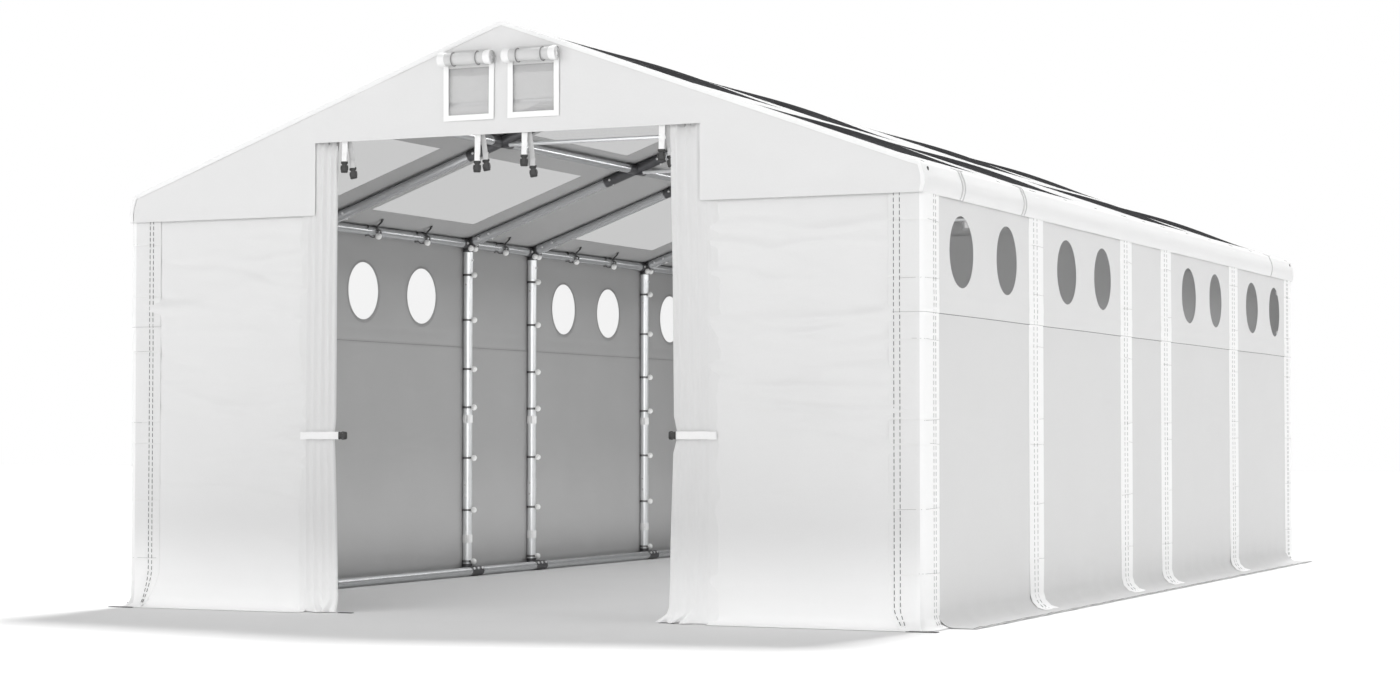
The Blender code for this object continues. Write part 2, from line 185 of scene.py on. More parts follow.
class TentCloth(bpy.types.PropertyGroup):
    """Sizes and colours of the cloth."""
    panel_colour: bpy.props.FloatVectorProperty(name="End cloth",
        description="Colour of the gables, end walls and curtains", subtype="COLOR",
        default=(0.737, 0.737, 0.737), min=0.0, max=1.0)
    # The side cloth is set darker than the end cloth as painted shade, against the key and side light
    # that fall on the side walls
    wall_colour: bpy.props.FloatVectorProperty(name="Side cloth", description="Colour of the side walls",
        subtype="COLOR", default=(0.655, 0.655, 0.655), min=0.0, max=1.0)
    band_colour: bpy.props.FloatVectorProperty(name="Band cloth",
        description="Colour of the sleeves and cover bands", subtype="COLOR", default=(0.88, 0.88, 0.88),
        min=0.0, max=1.0)
    cover_colour: bpy.props.FloatVectorProperty(name="Roof cloth", description="Colour of the roof cover",
        subtype="COLOR", default=(0.765, 0.765, 0.765), min=0.0, max=1.0)
    inside_colour: bpy.props.FloatVectorProperty(name="Inside",
        description="Colour of the wall cloth's inner face", subtype="COLOR", default=(0.40, 0.40, 0.40),
        min=0.0, max=1.0)
    lining_colour: bpy.props.FloatVectorProperty(name="Roof inside",
        description="Colour of the inner face of the roof and the back", subtype="COLOR",
        default=(0.395, 0.395, 0.395), min=0.0, max=1.0)
    thickness: bpy.props.FloatProperty(name="Thickness", description="Thickness of the coated cloth",
        default=0.002, unit="LENGTH")
    thread: bpy.props.FloatProperty(name="Thread", description="Width of one woven thread",
        default=0.0016, unit="LENGTH")
    fold: bpy.props.FloatProperty(name="Fold depth", description="Depth of the faint folds",
        default=0.003, unit="LENGTH")


class TentStitching(bpy.types.PropertyGroup):
    """Sizes and colours of the seams."""
    length: bpy.props.FloatProperty(name="Stitch length", description="Length of one stitch",
        default=0.022, unit="LENGTH")
    pitch: bpy.props.FloatProperty(name="Stitch pitch", description="Distance from stitch to stitch",
        default=0.034, unit="LENGTH")
    width: bpy.props.FloatProperty(name="Stitch width", description="Width of the thread", default=0.0042,
        unit="LENGTH")
    dark_colour: bpy.props.FloatVectorProperty(name="Dark thread", description="Thread of the end seams",
        subtype="COLOR", default=(0.16, 0.16, 0.16), min=0.0, max=1.0)
    light_colour: bpy.props.FloatVectorProperty(name="Light thread",
        description="Thread of the side seams", subtype="COLOR", default=(0.48, 0.48, 0.48), min=0.0,
        max=1.0)


class TentFoil(bpy.types.PropertyGroup):
    """Tints of the clear foils."""
    roof_colour: bpy.props.FloatVectorProperty(name="Roof foil", description="Tint of the roof panes",
        subtype="COLOR", default=(0.05, 0.05, 0.052), min=0.0, max=1.0)
    roof_cover: bpy.props.FloatProperty(name="Roof foil density",
        description="Share of the light that one face of the roof foil stops", default=0.245, min=0.0,
        max=1.0)
    roof_grazing: bpy.props.FloatProperty(name="Roof foil edge-on density",
        description="The same share where the foil is seen edge-on", default=0.85, min=0.0, max=1.0)
    wall_colour: bpy.props.FloatVectorProperty(name="Window foil",
        description="Tint of the round windows", subtype="COLOR", default=(0.15, 0.155, 0.16), min=0.0,
        max=1.0)
    wall_cover: bpy.props.FloatProperty(name="Window foil density",
        description="Share of the light that one face of the window foil stops", default=0.06, min=0.0,
        max=1.0)


class TentSteel(bpy.types.PropertyGroup):
    """Colours of the steel frame."""
    tube_colour: bpy.props.FloatVectorProperty(name="Tubes", description="Galvanised tubes",
        subtype="COLOR", default=(0.90, 0.91, 0.92), min=0.0, max=1.0)
    # The roof tubes, eave tubes and rail take a darker copy of the galvanised tube colour, as painted
    # shade
    shaded_colour: bpy.props.FloatVectorProperty(name="Roof tubes",
        description="Duller tubes of the roof, the eaves and the floor rail", subtype="COLOR",
        default=(0.58, 0.59, 0.60), min=0.0, max=1.0)
    joint_colour: bpy.props.FloatVectorProperty(name="Connectors", description="Grey painted connectors",
        subtype="COLOR", default=(0.10, 0.10, 0.105), min=0.0, max=1.0)


class TentFittings(bpy.types.PropertyGroup):
    """Sizes of the ball ties, straps and buckles."""
    ball_radius: bpy.props.FloatProperty(name="Ball radius", description="Radius of a tie's ball",
        default=0.0225, unit="LENGTH")
    cord_radius: bpy.props.FloatProperty(name="Rubber radius", description="Radius of the rubber cord",
        default=0.0028, unit="LENGTH")
    strap_width: bpy.props.FloatProperty(name="Strap width", description="Width of the door straps",
        default=0.036, unit="LENGTH")


class TentStudio(bpy.types.PropertyGroup):
    """Light and floor of the studio."""
    sky: bpy.props.FloatProperty(name="Sky", description="Strength of the even light from all round",
        default=0.47, min=0.0)
    backdrop: bpy.props.FloatProperty(name="Backdrop",
        description="Brightness of the backdrop that the camera sees", default=1.0, min=0.0)
    key_strength: bpy.props.FloatProperty(name="Key light",
        description="Strength of the soft light from behind and above", default=2.9, min=0.0)
    key_spread: bpy.props.FloatProperty(name="Key softness", description="Angle that the key light fills",
        default=math.radians(13.0), min=0.0, subtype="ANGLE")
    fill_strength: bpy.props.FloatProperty(name="Fill light",
        description="Strength of the low light from the front", default=1.4, min=0.0)
    fill_spread: bpy.props.FloatProperty(name="Fill softness",
        description="Angle that the fill light fills", default=math.radians(70.0), min=0.0,
        subtype="ANGLE")
    side_strength: bpy.props.FloatProperty(name="Side light",
        description="Strength of the low light from the right", default=1.0, min=0.0)
    side_spread: bpy.props.FloatProperty(name="Side softness",
        description="Angle that the side light fills", default=math.radians(50.0), min=0.0,
        subtype="ANGLE")
    room_power: bpy.props.FloatProperty(name="Room light",
        description="Power of the soft lamp inside the tent", default=50.0, unit="POWER")
    floor_power: bpy.props.FloatProperty(name="Floor light",
        description="Power of the lamp that lights the tent's inside from below", default=80.0,
        unit="POWER")
    wall_power: bpy.props.FloatProperty(name="Wall light",
        description="Power of the lamp in front of the right wall", default=17.0, unit="POWER")
    glint_power: bpy.props.FloatProperty(name="Glint",
        description="Power of the lamps that only make the steel shine", default=45.0, unit="POWER")
    floor_colour: bpy.props.FloatVectorProperty(name="Floor", description="Colour of the studio floor",
        subtype="COLOR", default=(0.86, 0.86, 0.86), min=0.0, max=1.0)


# Shader parts


def grey(value):
    return value, value, value


def add_node(tree, kind, settings=None, inputs=None):
    """Add a node, set its options, and set or link its inputs."""
    node = tree.nodes.new(kind)
    for name, value in (settings or {}).items():
        setattr(node, name, value)
    for key, value in (inputs or {}).items():
        if isinstance(value, bpy.types.NodeSocket):
            tree.links.new(value, node.inputs[key])
        else:
            node.inputs[key].default_value = value
    return node


def result_of(*new_node, **values):
    """First output of a node that is added for it."""
    return add_node(*new_node, **values).outputs[0]


def new_group(name, kind, inputs, outputs):
    """Node group with its entry and exit. An input is a number, a colour or a kind of socket."""
    tree = bpy.data.node_groups.new(name, kind)
    for label, value in inputs.items():
        kinds = {str: value, tuple: "NodeSocketColor", float: "NodeSocketFloat"}
        socket = tree.interface.new_socket(label, in_out="INPUT", socket_type=kinds[type(value)])
        if not isinstance(value, str):
            socket.default_value = value
    for label, socket_type in outputs.items():
        tree.interface.new_socket(label, in_out="OUTPUT", socket_type=socket_type)
    return tree, tree.nodes.new("NodeGroupInput"), tree.nodes.new("NodeGroupOutput")


def maths(tree, operation, *values):
    """Result of a Math node on numbers or on other nodes' results."""
    return result_of(tree, "ShaderNodeMath", {"operation": operation}, dict(enumerate(values)))


def noise(tree, place, scale, detail, roughness=0.5):
    """Value of a noise texture."""
    return result_of(tree, "ShaderNodeTexNoise", inputs={"Vector": place, "Scale": scale,
        "Detail": detail, "Roughness": roughness})


def weave_group():
    """Crossed threads with faint blotches on the cloth's own UV in metres, and painted light or shade
    that fades out upwards from the floor over the given height.
    """
    name = "cloth_weave"
    if name in bpy.data.node_groups:
        return bpy.data.node_groups[name]
    inputs = {"Colour": (0.8, 0.8, 0.8, 1.0), "Thread": 0.0016, "Blotch": 0.03, "Wrinkle": 0.0015,
        "Foot": 0.0, "Foot Height": 1.0}
    outputs = {"Colour": "NodeSocketColor", "Height": "NodeSocketFloat"}
    tree, entry, leave = new_group(name, "ShaderNodeTree", inputs, outputs)
    given = entry.outputs
    places = add_node(tree, "ShaderNodeTexCoord").outputs
    uv = places["UV"]
    split = add_node(tree, "ShaderNodeSeparateXYZ", inputs={0: uv}).outputs
    rate = maths(tree, "DIVIDE", math.pi, given["Thread"])
    waves = [maths(tree, "SINE", maths(tree, "MULTIPLY", split[axis], rate)) for axis in (0, 1)]
    threads = maths(tree, "MULTIPLY", maths(tree, "MULTIPLY", *waves), given["Thread"])
    stretch = result_of(tree, "ShaderNodeMapping", inputs={"Vector": uv, "Scale": WRINKLE_STRETCH})
    wrinkles = noise(tree, stretch, WRINKLE_RATE, 4.0, 0.55)
    height = maths(tree, "ADD", maths(tree, "MULTIPLY", threads, THREAD_SHARE),
        maths(tree, "MULTIPLY", wrinkles, given["Wrinkle"]))
    mixed = maths(tree, "ADD", noise(tree, uv, GRAIN_RATE, 2.0), noise(tree, uv, CLOUD_RATE, 3.0))
    drift = maths(tree, "MULTIPLY_ADD", maths(tree, "SUBTRACT", mixed, 1.0), given["Blotch"], 1.0)
    # Painted light near the floor where the shading is positive, painted shade where it is negative,
    # fading out by the given height
    level = add_node(tree, "ShaderNodeSeparateXYZ", inputs={0: places["Object"]}).outputs[2]
    low = result_of(tree, "ShaderNodeMapRange", {"interpolation_type": "SMOOTHSTEP"},
        {0: level, 1: 0.0, 2: given["Foot Height"], 3: given["Foot"], 4: 0.0})
    tinted = result_of(tree, "ShaderNodeVectorMath", {"operation": "SCALE"},
        {0: given["Colour"], "Scale": maths(tree, "ADD", drift, low)})
    tree.links.new(tinted, leave.inputs["Colour"])
    tree.links.new(height, leave.inputs["Height"])
    return tree


def grain_group():
    """Fine grain, cloudy tint and rubbed gloss for metal, plastic, foil and floor."""
    name = "surface_grain"
    if name in bpy.data.node_groups:
        return bpy.data.node_groups[name]
    inputs = {"Colour": (0.5, 0.5, 0.5, 1.0), "Scale": 40.0, "Variation": 0.1, "Gloss": 0.4,
        "Gloss Variation": 0.1, "Depth": 0.0002}
    outputs = {"Colour": "NodeSocketColor", "Roughness": "NodeSocketFloat", "Height": "NodeSocketFloat"}
    tree, entry, leave = new_group(name, "ShaderNodeTree", inputs, outputs)
    given = entry.outputs
    place = add_node(tree, "ShaderNodeTexCoord").outputs["Object"]
    cells = add_node(tree, "ShaderNodeTexVoronoi", inputs={"Vector": place, "Scale": given["Scale"]})
    patch = result_of(tree, "ShaderNodeSeparateXYZ", inputs={0: cells.outputs["Color"]})
    grain = noise(tree, place, given["Scale"], 4.0)
    centred = maths(tree, "SUBTRACT", maths(tree, "ADD", patch, grain), 1.0)
    drift = maths(tree, "MULTIPLY_ADD", centred, given["Variation"], 1.0)
    tinted = result_of(tree, "ShaderNodeVectorMath", {"operation": "SCALE"},
        {0: given["Colour"], "Scale": drift})
    gloss = maths(tree, "MULTIPLY_ADD", centred, given["Gloss Variation"], given["Gloss"])
    results = {"Colour": tinted, "Roughness": gloss, "Height": maths(tree, "MULTIPLY", grain,
        given["Depth"])}
    for label, result in results.items():
        tree.links.new(result, leave.inputs[label])
    return tree


def new_finish(name, group, inputs, shader_values):
    """Material whose colour and bump come from a node group."""
    if name in bpy.data.materials:
        return bpy.data.materials[name]
    material = bpy.data.materials.new(name)
    material.use_nodes = True
    tree = material.node_tree
    shader = tree.nodes["Principled BSDF"]
    effect = add_node(tree, "ShaderNodeGroup", {"node_tree": group}, inputs)
    bump = result_of(tree, "ShaderNodeBump", inputs={"Height": effect.outputs["Height"], "Distance": 1.0})
    tree.links.new(effect.outputs["Colour"], shader.inputs["Base Color"])
    tree.links.new(bump, shader.inputs["Normal"])
    if "Roughness" in effect.outputs:
        tree.links.new(effect.outputs["Roughness"], shader.inputs["Roughness"])
    for key, value in shader_values.items():
        shader.inputs[key].default_value = value
    return material


def cloth_finish(name, colour, blotch=0.03, wrinkle=0.0015, painted_foot_shading=0.0, painted_shading_height=1.0):
    cloth = bpy.context.scene.tent_cloth
    return new_finish(name, weave_group(), {"Colour": (*colour, 1.0), "Thread": cloth.thread,
        "Blotch": blotch, "Wrinkle": wrinkle, "Foot": painted_foot_shading, "Foot Height": painted_shading_height},
        {"Roughness": 0.62, "Specular IOR Level": 0.3})


def plain_finish(name, colour, gloss, scale=60.0, variation=0.06, metallic=0.0, depth=0.0002, alpha=1.0,
        patches=0.08):
    return new_finish(name, grain_group(), {"Colour": (*colour, 1.0), "Scale": scale,
        "Variation": variation, "Gloss": gloss, "Gloss Variation": patches, "Depth": depth},
        {"Metallic": metallic, "Alpha": alpha})


def outer_cloth(kind, shaded=False):
    """Outer and inner finish of one kind of cloth. Near the floor the end cloth gets painted light, the
    side wall painted shade and the inner cloth painted light. The roof's inside and the inside of what
    faces the door take the lining instead, without that painted light.
    """
    cloth = bpy.context.scene.tent_cloth
    # The upper kind is a lighter copy of the side cloth, painted light against the shadow of the roof's
    # drop
    colour = {"panel": cloth.panel_colour, "wall": cloth.wall_colour, "band": cloth.band_colour,
        "cover": cloth.cover_colour, "upper": [value * 1.05 for value in cloth.wall_colour]}[kind]
    # Painted shading near the floor: painted light on the end cloth, painted shade on the side wall's
    # foot
    foot_shading, height = {"panel": (0.40, 0.58), "wall": (-0.14, 0.13)}.get(kind, (0.0, 1.0))
    dark = shaded or kind == "cover"
    inner = ("dark_lining", cloth.lining_colour) if dark else ("inner_cloth", cloth.inside_colour)
    return [cloth_finish(kind + "_cloth", colour, painted_foot_shading=foot_shading, painted_shading_height=height),
        cloth_finish(*inner, 0.10, painted_foot_shading=0.0 if dark else 0.33, painted_shading_height=1.1)]


def galvanised():
    return plain_finish("galvanised_steel", bpy.context.scene.tent_steel.tube_colour, 0.30, 45.0, 0.02,
        0.60, 0.0, patches=0.01)


# Darker copy of the galvanised steel, painted shade
def shaded_steel():
    return plain_finish("shaded_steel", bpy.context.scene.tent_steel.shaded_colour, 0.26, 45.0, 0.02,
        0.72, 0.0, patches=0.01)


def joint_steel():
    return plain_finish("connector_steel", bpy.context.scene.tent_steel.joint_colour, 0.42, 60.0, 0.12,
        0.55, 0.00002)


def zinc_bolt():
    return plain_finish("zinc_bolt", grey(0.80), 0.3, 200.0, 0.05, 0.7)


def black_plastic():
    return plain_finish("black_plastic", grey(0.018), 0.42, 300.0, 0.10)


def black_rubber():
    return plain_finish("black_rubber", grey(0.03), 0.6, 400.0, 0.10)


def grey_elastic():
    return plain_finish("grey_elastic", grey(0.30), 0.7, 400.0, 0.10)


def white_plastic():
    return plain_finish("ball_plastic", (0.96, 0.96, 0.95), 0.3, 120.0, 0.02, depth=0.00001)


def webbing():
    cloth = bpy.context.scene.tent_cloth
    return cloth_finish("strap_webbing", cloth.band_colour, 0.05)


def thread_finish(shade):
    seams = bpy.context.scene.tent_stitching
    colour = seams.dark_colour if shade == "dark" else seams.light_colour
    return plain_finish(shade + "_thread", colour, 0.7, 500.0, 0.10)


def fold_shade_finish():
    return plain_finish("folded_edge", grey(0.45), 0.7, 500.0, 0.10)


# Mesh parts


def unit(value):
    """The value, held between 0 and 1."""
    return np.clip(value, 0.0, 1.0)


def hill(distance, width):
    """Smooth hill that is 1 at no distance and sinks over the width."""
    return np.exp(-(distance / width) ** 2)


def stacked(*columns):
    """Points from arrays of their coordinates."""
    return np.stack(columns, axis=-1)


def spaced(stops, step):
    """Values from the first stop to the last that hit every stop, at most a step apart."""
    values = [stops[0]]
    for a, b in zip(stops[:-1], stops[1:]):
        count = max(1, math.ceil((b - a) / step - 1e-6))
        values += [a + (b - a) * k / count for k in range(1, count + 1)]
    return np.array(values)


def link_mesh(name, mesh, finishes):
    for finish in finishes:
        mesh.materials.append(finish)
    obj = bpy.data.objects.new(name, mesh)
    bpy.context.scene.collection.objects.link(obj)
    return obj


def settle(obj, stands_for=()):
    """Let a finished piece ride on the tent, and hide the frame's parts that it stands for."""
    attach(obj, "root")
    if stands_for:
        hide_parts(*stands_for)
    return obj


def disc_faces(us, vs, disc, columns, first):
    """Points and faces of a square patch of a grid with a round hole in it."""
    cu, cv, half, radius = disc
    inside_u = np.nonzero(np.abs(us - cu) < half + 1e-6)[0]
    inside_v = np.nonzero(np.abs(vs - cv) < half + 1e-6)[0]
    low_u, high_u, low_v, high_v = inside_u[0], inside_u[-1], inside_v[0], inside_v[-1]
    loop = [(low_v, c) for c in range(low_u, high_u)]
    loop += [(r, high_u) for r in range(low_v, high_v)]
    loop += [(high_v, c) for c in range(high_u, low_u, -1)]
    loop += [(r, low_u) for r in range(high_v, low_v, -1)]
    ring = [r * columns + c for r, c in loop]
    corners = np.array([(us[c], vs[r]) for r, c in loop])
    away = corners - (cu, cv)
    hole = (cu, cv) + radius * away / np.linalg.norm(away, axis=1, keepdims=True)
    points, faces = [], []
    steps = 4
    for step in range(1, steps + 1):
        points.append(corners + (hole - corners) * (step / steps))
        inner = [first + (step - 1) * len(ring) + k for k in range(len(ring))]
        for k in range(len(ring)):
            after = (k + 1) % len(ring)
            faces.append((ring[k], ring[after], inner[after], inner[k]))
        ring = inner
    return np.concatenate(points), faces


def build_sheet(name, us, vs, surface, out, finishes, thickness, skip=None, discs=(), trim=(),
        paint=None):
    """Sheet over a grid of u and v, its face towards out, with holes and trimmed edges.

    The direction out is a vector, or a function of u and v where the sheet turns round.
    The last finish is the inner face's; paint gives the number of the outer one from u and v.
    """
    columns = len(us)
    grid_u, grid_v = np.meshgrid(us, vs)
    mid_u, mid_v = np.meshgrid((us[:-1] + us[1:]) / 2, (vs[:-1] + vs[1:]) / 2)
    blocked = skip(mid_u, mid_v) if skip else np.zeros(mid_u.shape, bool)
    flat = stacked(grid_u.ravel(), grid_v.ravel())
    faces = []
    for disc in discs:
        blocked |= (np.abs(mid_u - disc[0]) < disc[2]) & (np.abs(mid_v - disc[1]) < disc[2])
        points, ring_faces = disc_faces(us, vs, disc, columns, len(flat))
        flat = np.concatenate([flat, points])
        faces += ring_faces
    for row, column in zip(*np.nonzero(~blocked)):
        corner = row * columns + column
        faces.append((corner, corner + 1, corner + 1 + columns, corner + columns))
    faces = np.array(faces)
    used, faces = np.unique(faces, return_inverse=True)
    faces = faces.reshape(-1, 4)
    flat = flat[used]
    points = surface(flat[:, 0], flat[:, 1])
    a, b, c = (points[faces[:, k]] for k in range(3))
    middles = flat[faces].mean(axis=1)
    aim = out(middles[:, 0], middles[:, 1]) if callable(out) else np.array(out, float)
    if (np.cross(b - a, c - a) * aim).sum() < 0:
        faces = faces[:, ::-1]
    mesh = bpy.data.meshes.new(name)
    mesh.from_pydata(points.tolist(), [], faces.tolist())
    layer = mesh.uv_layers.new(name="UVMap")
    corners = np.zeros(len(mesh.loops), np.int32)
    mesh.loops.foreach_get("vertex_index", corners)
    layer.data.foreach_set("uv", flat[corners].astype(np.float32).ravel())
    if paint:
        mesh.polygons.foreach_set("material_index", paint(middles[:, 0], middles[:, 1]).astype(np.int32))
    if trim:
        cut = bmesh.new()
        cut.from_mesh(mesh)
        for point, normal in trim:
            bmesh.ops.bisect_plane(cut, geom=cut.verts[:] + cut.edges[:] + cut.faces[:], plane_co=point,
                plane_no=normal, clear_outer=True)
        cut.to_mesh(mesh)
        cut.free()
    mesh.shade_smooth()
    edge_of = np.zeros(len(mesh.loops), np.int32)
    mesh.loops.foreach_get("edge_index", edge_of)
    rim = np.bincount(edge_of, minlength=len(mesh.edges)) == 1
    mesh.attributes.new("sharp_edge", "BOOLEAN", "EDGE").data.foreach_set("value", rim)
    obj = link_mesh(name, mesh, finishes)
    solid = obj.modifiers.new("thickness", "SOLIDIFY")
    solid.thickness = thickness
    solid.offset = -1.0
    solid.material_offset = len(finishes) - 1
    return obj


def creases(seed, count, u_range, v_range, length, width, depth, lean=(0.0, 0.15), bow=0.0):
    """Height of creases laid at random places by a fixed seed."""
    draw = np.random.default_rng(seed)
    rows = [(draw.uniform(*u_range), draw.uniform(*v_range), draw.normal(*lean), draw.uniform(*length),
        draw.uniform(*width), depth * draw.uniform(-0.7, 1.0), draw.normal(0.0, bow))
        for _ in range(count)]

    def height(u, v):
        total = np.zeros_like(u)
        for cu, cv, angle, reach, breadth, lift, bend in rows:
            along = (u - cu) * math.cos(angle) + (v - cv) * math.sin(angle)
            across = (v - cv) * math.cos(angle) - (u - cu) * math.sin(angle) + bend * along ** 2
            total += lift * np.exp(-(across / breadth) ** 2 - (along / reach) ** 2)
        return total
    return height


def on_cloth(surface, u, v, out, lift):
    """Points raised off a cloth's face."""
    u, v = np.broadcast_arrays(np.asarray(u, float), np.asarray(v, float))
    step = 1e-3
    place = surface(u, v)
    normal = np.cross(surface(u + step, v) - place, surface(u, v + step) - place)
    normal /= np.linalg.norm(normal, axis=-1, keepdims=True)
    normal *= np.sign(normal @ np.array(out, float))[..., None]
    return place + normal * lift


def circle(radius, sides):
    """Corners of a round section."""
    turns = [2 * math.pi * k / sides for k in range(sides)]
    return [(radius * math.cos(turn), radius * math.sin(turn)) for turn in turns]


def inside(value, spans):
    """Whether each value lies within one of the spans."""
    return np.any([(value > low) & (value < high) for low, high in spans], axis=0)


class Kit:
    """Collects shapes, each with its finish, and makes one piece of them."""

    def __init__(self):
        self.bm = bmesh.new()
        self.finishes = []

    def paint(self, first, finish):
        if finish not in self.finishes:
            self.finishes.append(finish)
        self.bm.faces.ensure_lookup_table()
        for face in self.bm.faces[first:]:
            face.material_index = self.finishes.index(finish)

    def loft(self, rings, finish, closed=False):
        """Skin over rings of points, with caps unless the rings close on themselves."""
        first = len(self.bm.faces)
        uv = self.bm.loops.layers.uv.verify()
        rings = [[self.bm.verts.new(point) for point in ring] for ring in rings]
        pairs = list(zip(rings[:-1], rings[1:]))
        if closed:
            pairs.append((rings[-1], rings[0]))
        along = 0.0
        for low, high in pairs:
            step = (high[0].co - low[0].co).length
            width = (low[1].co - low[0].co).length
            for k in range(len(low)):
                after = (k + 1) % len(low)
                face = self.bm.faces.new((low[k], low[after], high[after], high[k]))
                corners = ((k, 0.0), (k + 1, 0.0), (k + 1, step), (k, step))
                for loop, (turn, rise) in zip(face.loops, corners):
                    loop[uv].uv = (turn * width, along + rise)
            along += step
        if not closed:
            self.bm.faces.new(rings[0][::-1])
            self.bm.faces.new(rings[-1])
        self.paint(first, finish)

    def turned(self, start, direction, profile, finish, sides=20):
        """Shape turned about a line from start; the profile is (distance, radius) pairs."""
        start = Vector(start)
        turn = Vector((0.0, 0.0, 1.0)).rotation_difference(Vector(direction)).to_matrix()
        rings = []
        for along, radius in profile:
            rings.append([start + turn @ Vector((*place, along)) for place in circle(radius, sides)])
        self.loft(rings, finish)

    def tube(self, start, end, radius, finish, sides=20, edge=0.0012):
        length = (Vector(end) - Vector(start)).length
        profile = [(0.0, radius - edge), (edge, radius), (length - edge, radius), (length, radius - edge)]
        self.turned(start, Vector(end) - Vector(start), profile, finish, sides)

    def ball(self, centre, radius, finish, sides=14):
        steps = 8
        profile = [(-radius * math.cos(math.pi * k / steps), max(radius * math.sin(math.pi * k / steps),
            2e-4)) for k in range(steps + 1)]
        self.turned(centre, (0.0, 0.0, 1.0), profile, finish, sides)

    def box(self, low, high, finish, edge=0.001):
        first = len(self.bm.faces)
        low, high = Vector(low), Vector(high)
        made = bmesh.ops.create_cube(self.bm, size=1.0)["verts"]
        for vert in made:
            vert.co = Vector(lo + (hi - lo) * (c + 0.5) for lo, hi, c in zip(low, high, vert.co))
        edges = {e for vert in made for e in vert.link_edges}
        bmesh.ops.bevel(self.bm, geom=list(edges), offset=edge, segments=1, affect="EDGES")
        self.paint(first, finish)

    def swept(self, points, section, finish, up=(0.0, 0.0, 1.0), closed=False):
        """Section of (sideways, upwards) pairs carried along a path."""
        points = [Vector(point) for point in points]
        count = len(points)
        rings = []
        for k, point in enumerate(points):
            before = points[k - 1] if k or closed else point
            after = points[(k + 1) % count] if k < count - 1 or closed else point
            ahead = (after - before).normalized()
            side = ahead.cross(Vector(up)).normalized()
            rise = side.cross(ahead)
            rings.append([point + side * a + rise * b for a, b in section])
        self.loft([ring[::-1] for ring in rings], finish, closed)

    def cord(self, points, radius, finish, up=(0.0, 0.0, 1.0), closed=False, sides=6):
        self.swept(points, circle(radius, sides), finish, up, closed)

    def ribbon(self, points, width, thickness, finish, up=(0.0, 0.0, 1.0), closed=False):
        """Flat strap whose width lies sideways of the path."""
        half, edge = width / 2, thickness / 2
        self.swept(points, [(-half, -edge), (half, -edge), (half, edge), (-half, edge)], finish, up,
            closed)

    def piece(self, name, slot=None, stands_for=()):
        mesh = bpy.data.meshes.new(name)
        bmesh.ops.recalc_face_normals(self.bm, faces=self.bm.faces)
        self.bm.to_mesh(mesh)
        self.bm.free()
        mesh.shade_smooth()
        mesh.set_sharp_from_angle(angle=math.radians(40.0))
        return settle(link_mesh(name, mesh, self.finishes), stands_for)


# Geometry node trees


def scatter_tree(name, shape, sizes):
    """Tree that sets one shape on each point, turned by the point's up and facing."""
    if name in bpy.data.node_groups:
        return bpy.data.node_groups[name]
    inputs = {"Points": "NodeSocketGeometry", **sizes, "Finish": "NodeSocketMaterial"}
    tree, entry, leave = new_group(name, "GeometryNodeTree", inputs, {"Shapes": "NodeSocketGeometry"})
    aim = {}
    for label in ("up", "facing"):
        aim[label] = add_node(tree, "GeometryNodeInputNamedAttribute", {"data_type": "FLOAT_VECTOR"},
            {"Name": label}).outputs["Attribute"]
    turn = result_of(tree, "FunctionNodeAxesToRotation", {"primary_axis": "Z", "secondary_axis": "X"},
        {0: aim["up"], 1: aim["facing"]})
    spread = result_of(tree, "GeometryNodeInstanceOnPoints", inputs={"Points": entry.outputs["Points"],
        "Instance": shape(tree, entry), "Rotation": turn})
    finish_tree(tree, spread, entry, leave)
    return tree


def finish_tree(tree, instances, entry, leave):
    real = result_of(tree, "GeometryNodeRealizeInstances", inputs={"Geometry": instances})
    dressed = result_of(tree, "GeometryNodeSetMaterial", inputs={"Geometry": real,
        "Material": entry.outputs["Finish"]})
    tree.links.new(dressed, leave.inputs[0])


def stitch_tree():
    """Tree that lays short stitches along lines."""
    name = "stitch_rows"
    if name in bpy.data.node_groups:
        return bpy.data.node_groups[name]
    inputs = {"Lines": "NodeSocketGeometry", "Length": 0.02, "Pitch": 0.03, "Width": 0.004,
        "Finish": "NodeSocketMaterial"}
    tree, entry, leave = new_group(name, "GeometryNodeTree", inputs, {"Stitches": "NodeSocketGeometry"})
    lines = result_of(tree, "GeometryNodeMeshToCurve", inputs={"Mesh": entry.outputs["Lines"]})
    marks = result_of(tree, "GeometryNodeResampleCurve", {"mode": "LENGTH"},
        {"Curve": lines, "Length": entry.outputs["Pitch"]})
    thread = result_of(tree, "GeometryNodeMeshCylinder", inputs={"Vertices": 6,
        "Radius": maths(tree, "MULTIPLY", entry.outputs["Width"], 0.5), "Depth": entry.outputs["Length"]})
    along = result_of(tree, "GeometryNodeInputTangent")
    turn = result_of(tree, "FunctionNodeAlignRotationToVector", {"axis": "Z"}, {"Vector": along})
    spread = result_of(tree, "GeometryNodeInstanceOnPoints", inputs={"Points": marks, "Instance": thread,
        "Rotation": turn})
    finish_tree(tree, spread, entry, leave)
    return tree


def ball_shape(tree, entry):
    ball = result_of(tree, "GeometryNodeMeshUVSphere", inputs={"Segments": 16, "Rings": 10,
        "Radius": entry.outputs["Radius"]})
    smooth = result_of(tree, "GeometryNodeSetShadeSmooth", inputs={"Geometry": ball})
    move = result_of(tree, "ShaderNodeCombineXYZ", inputs={0: entry.outputs["Reach"]})
    return result_of(tree, "GeometryNodeTransform", inputs={"Geometry": smooth, "Translation": move})


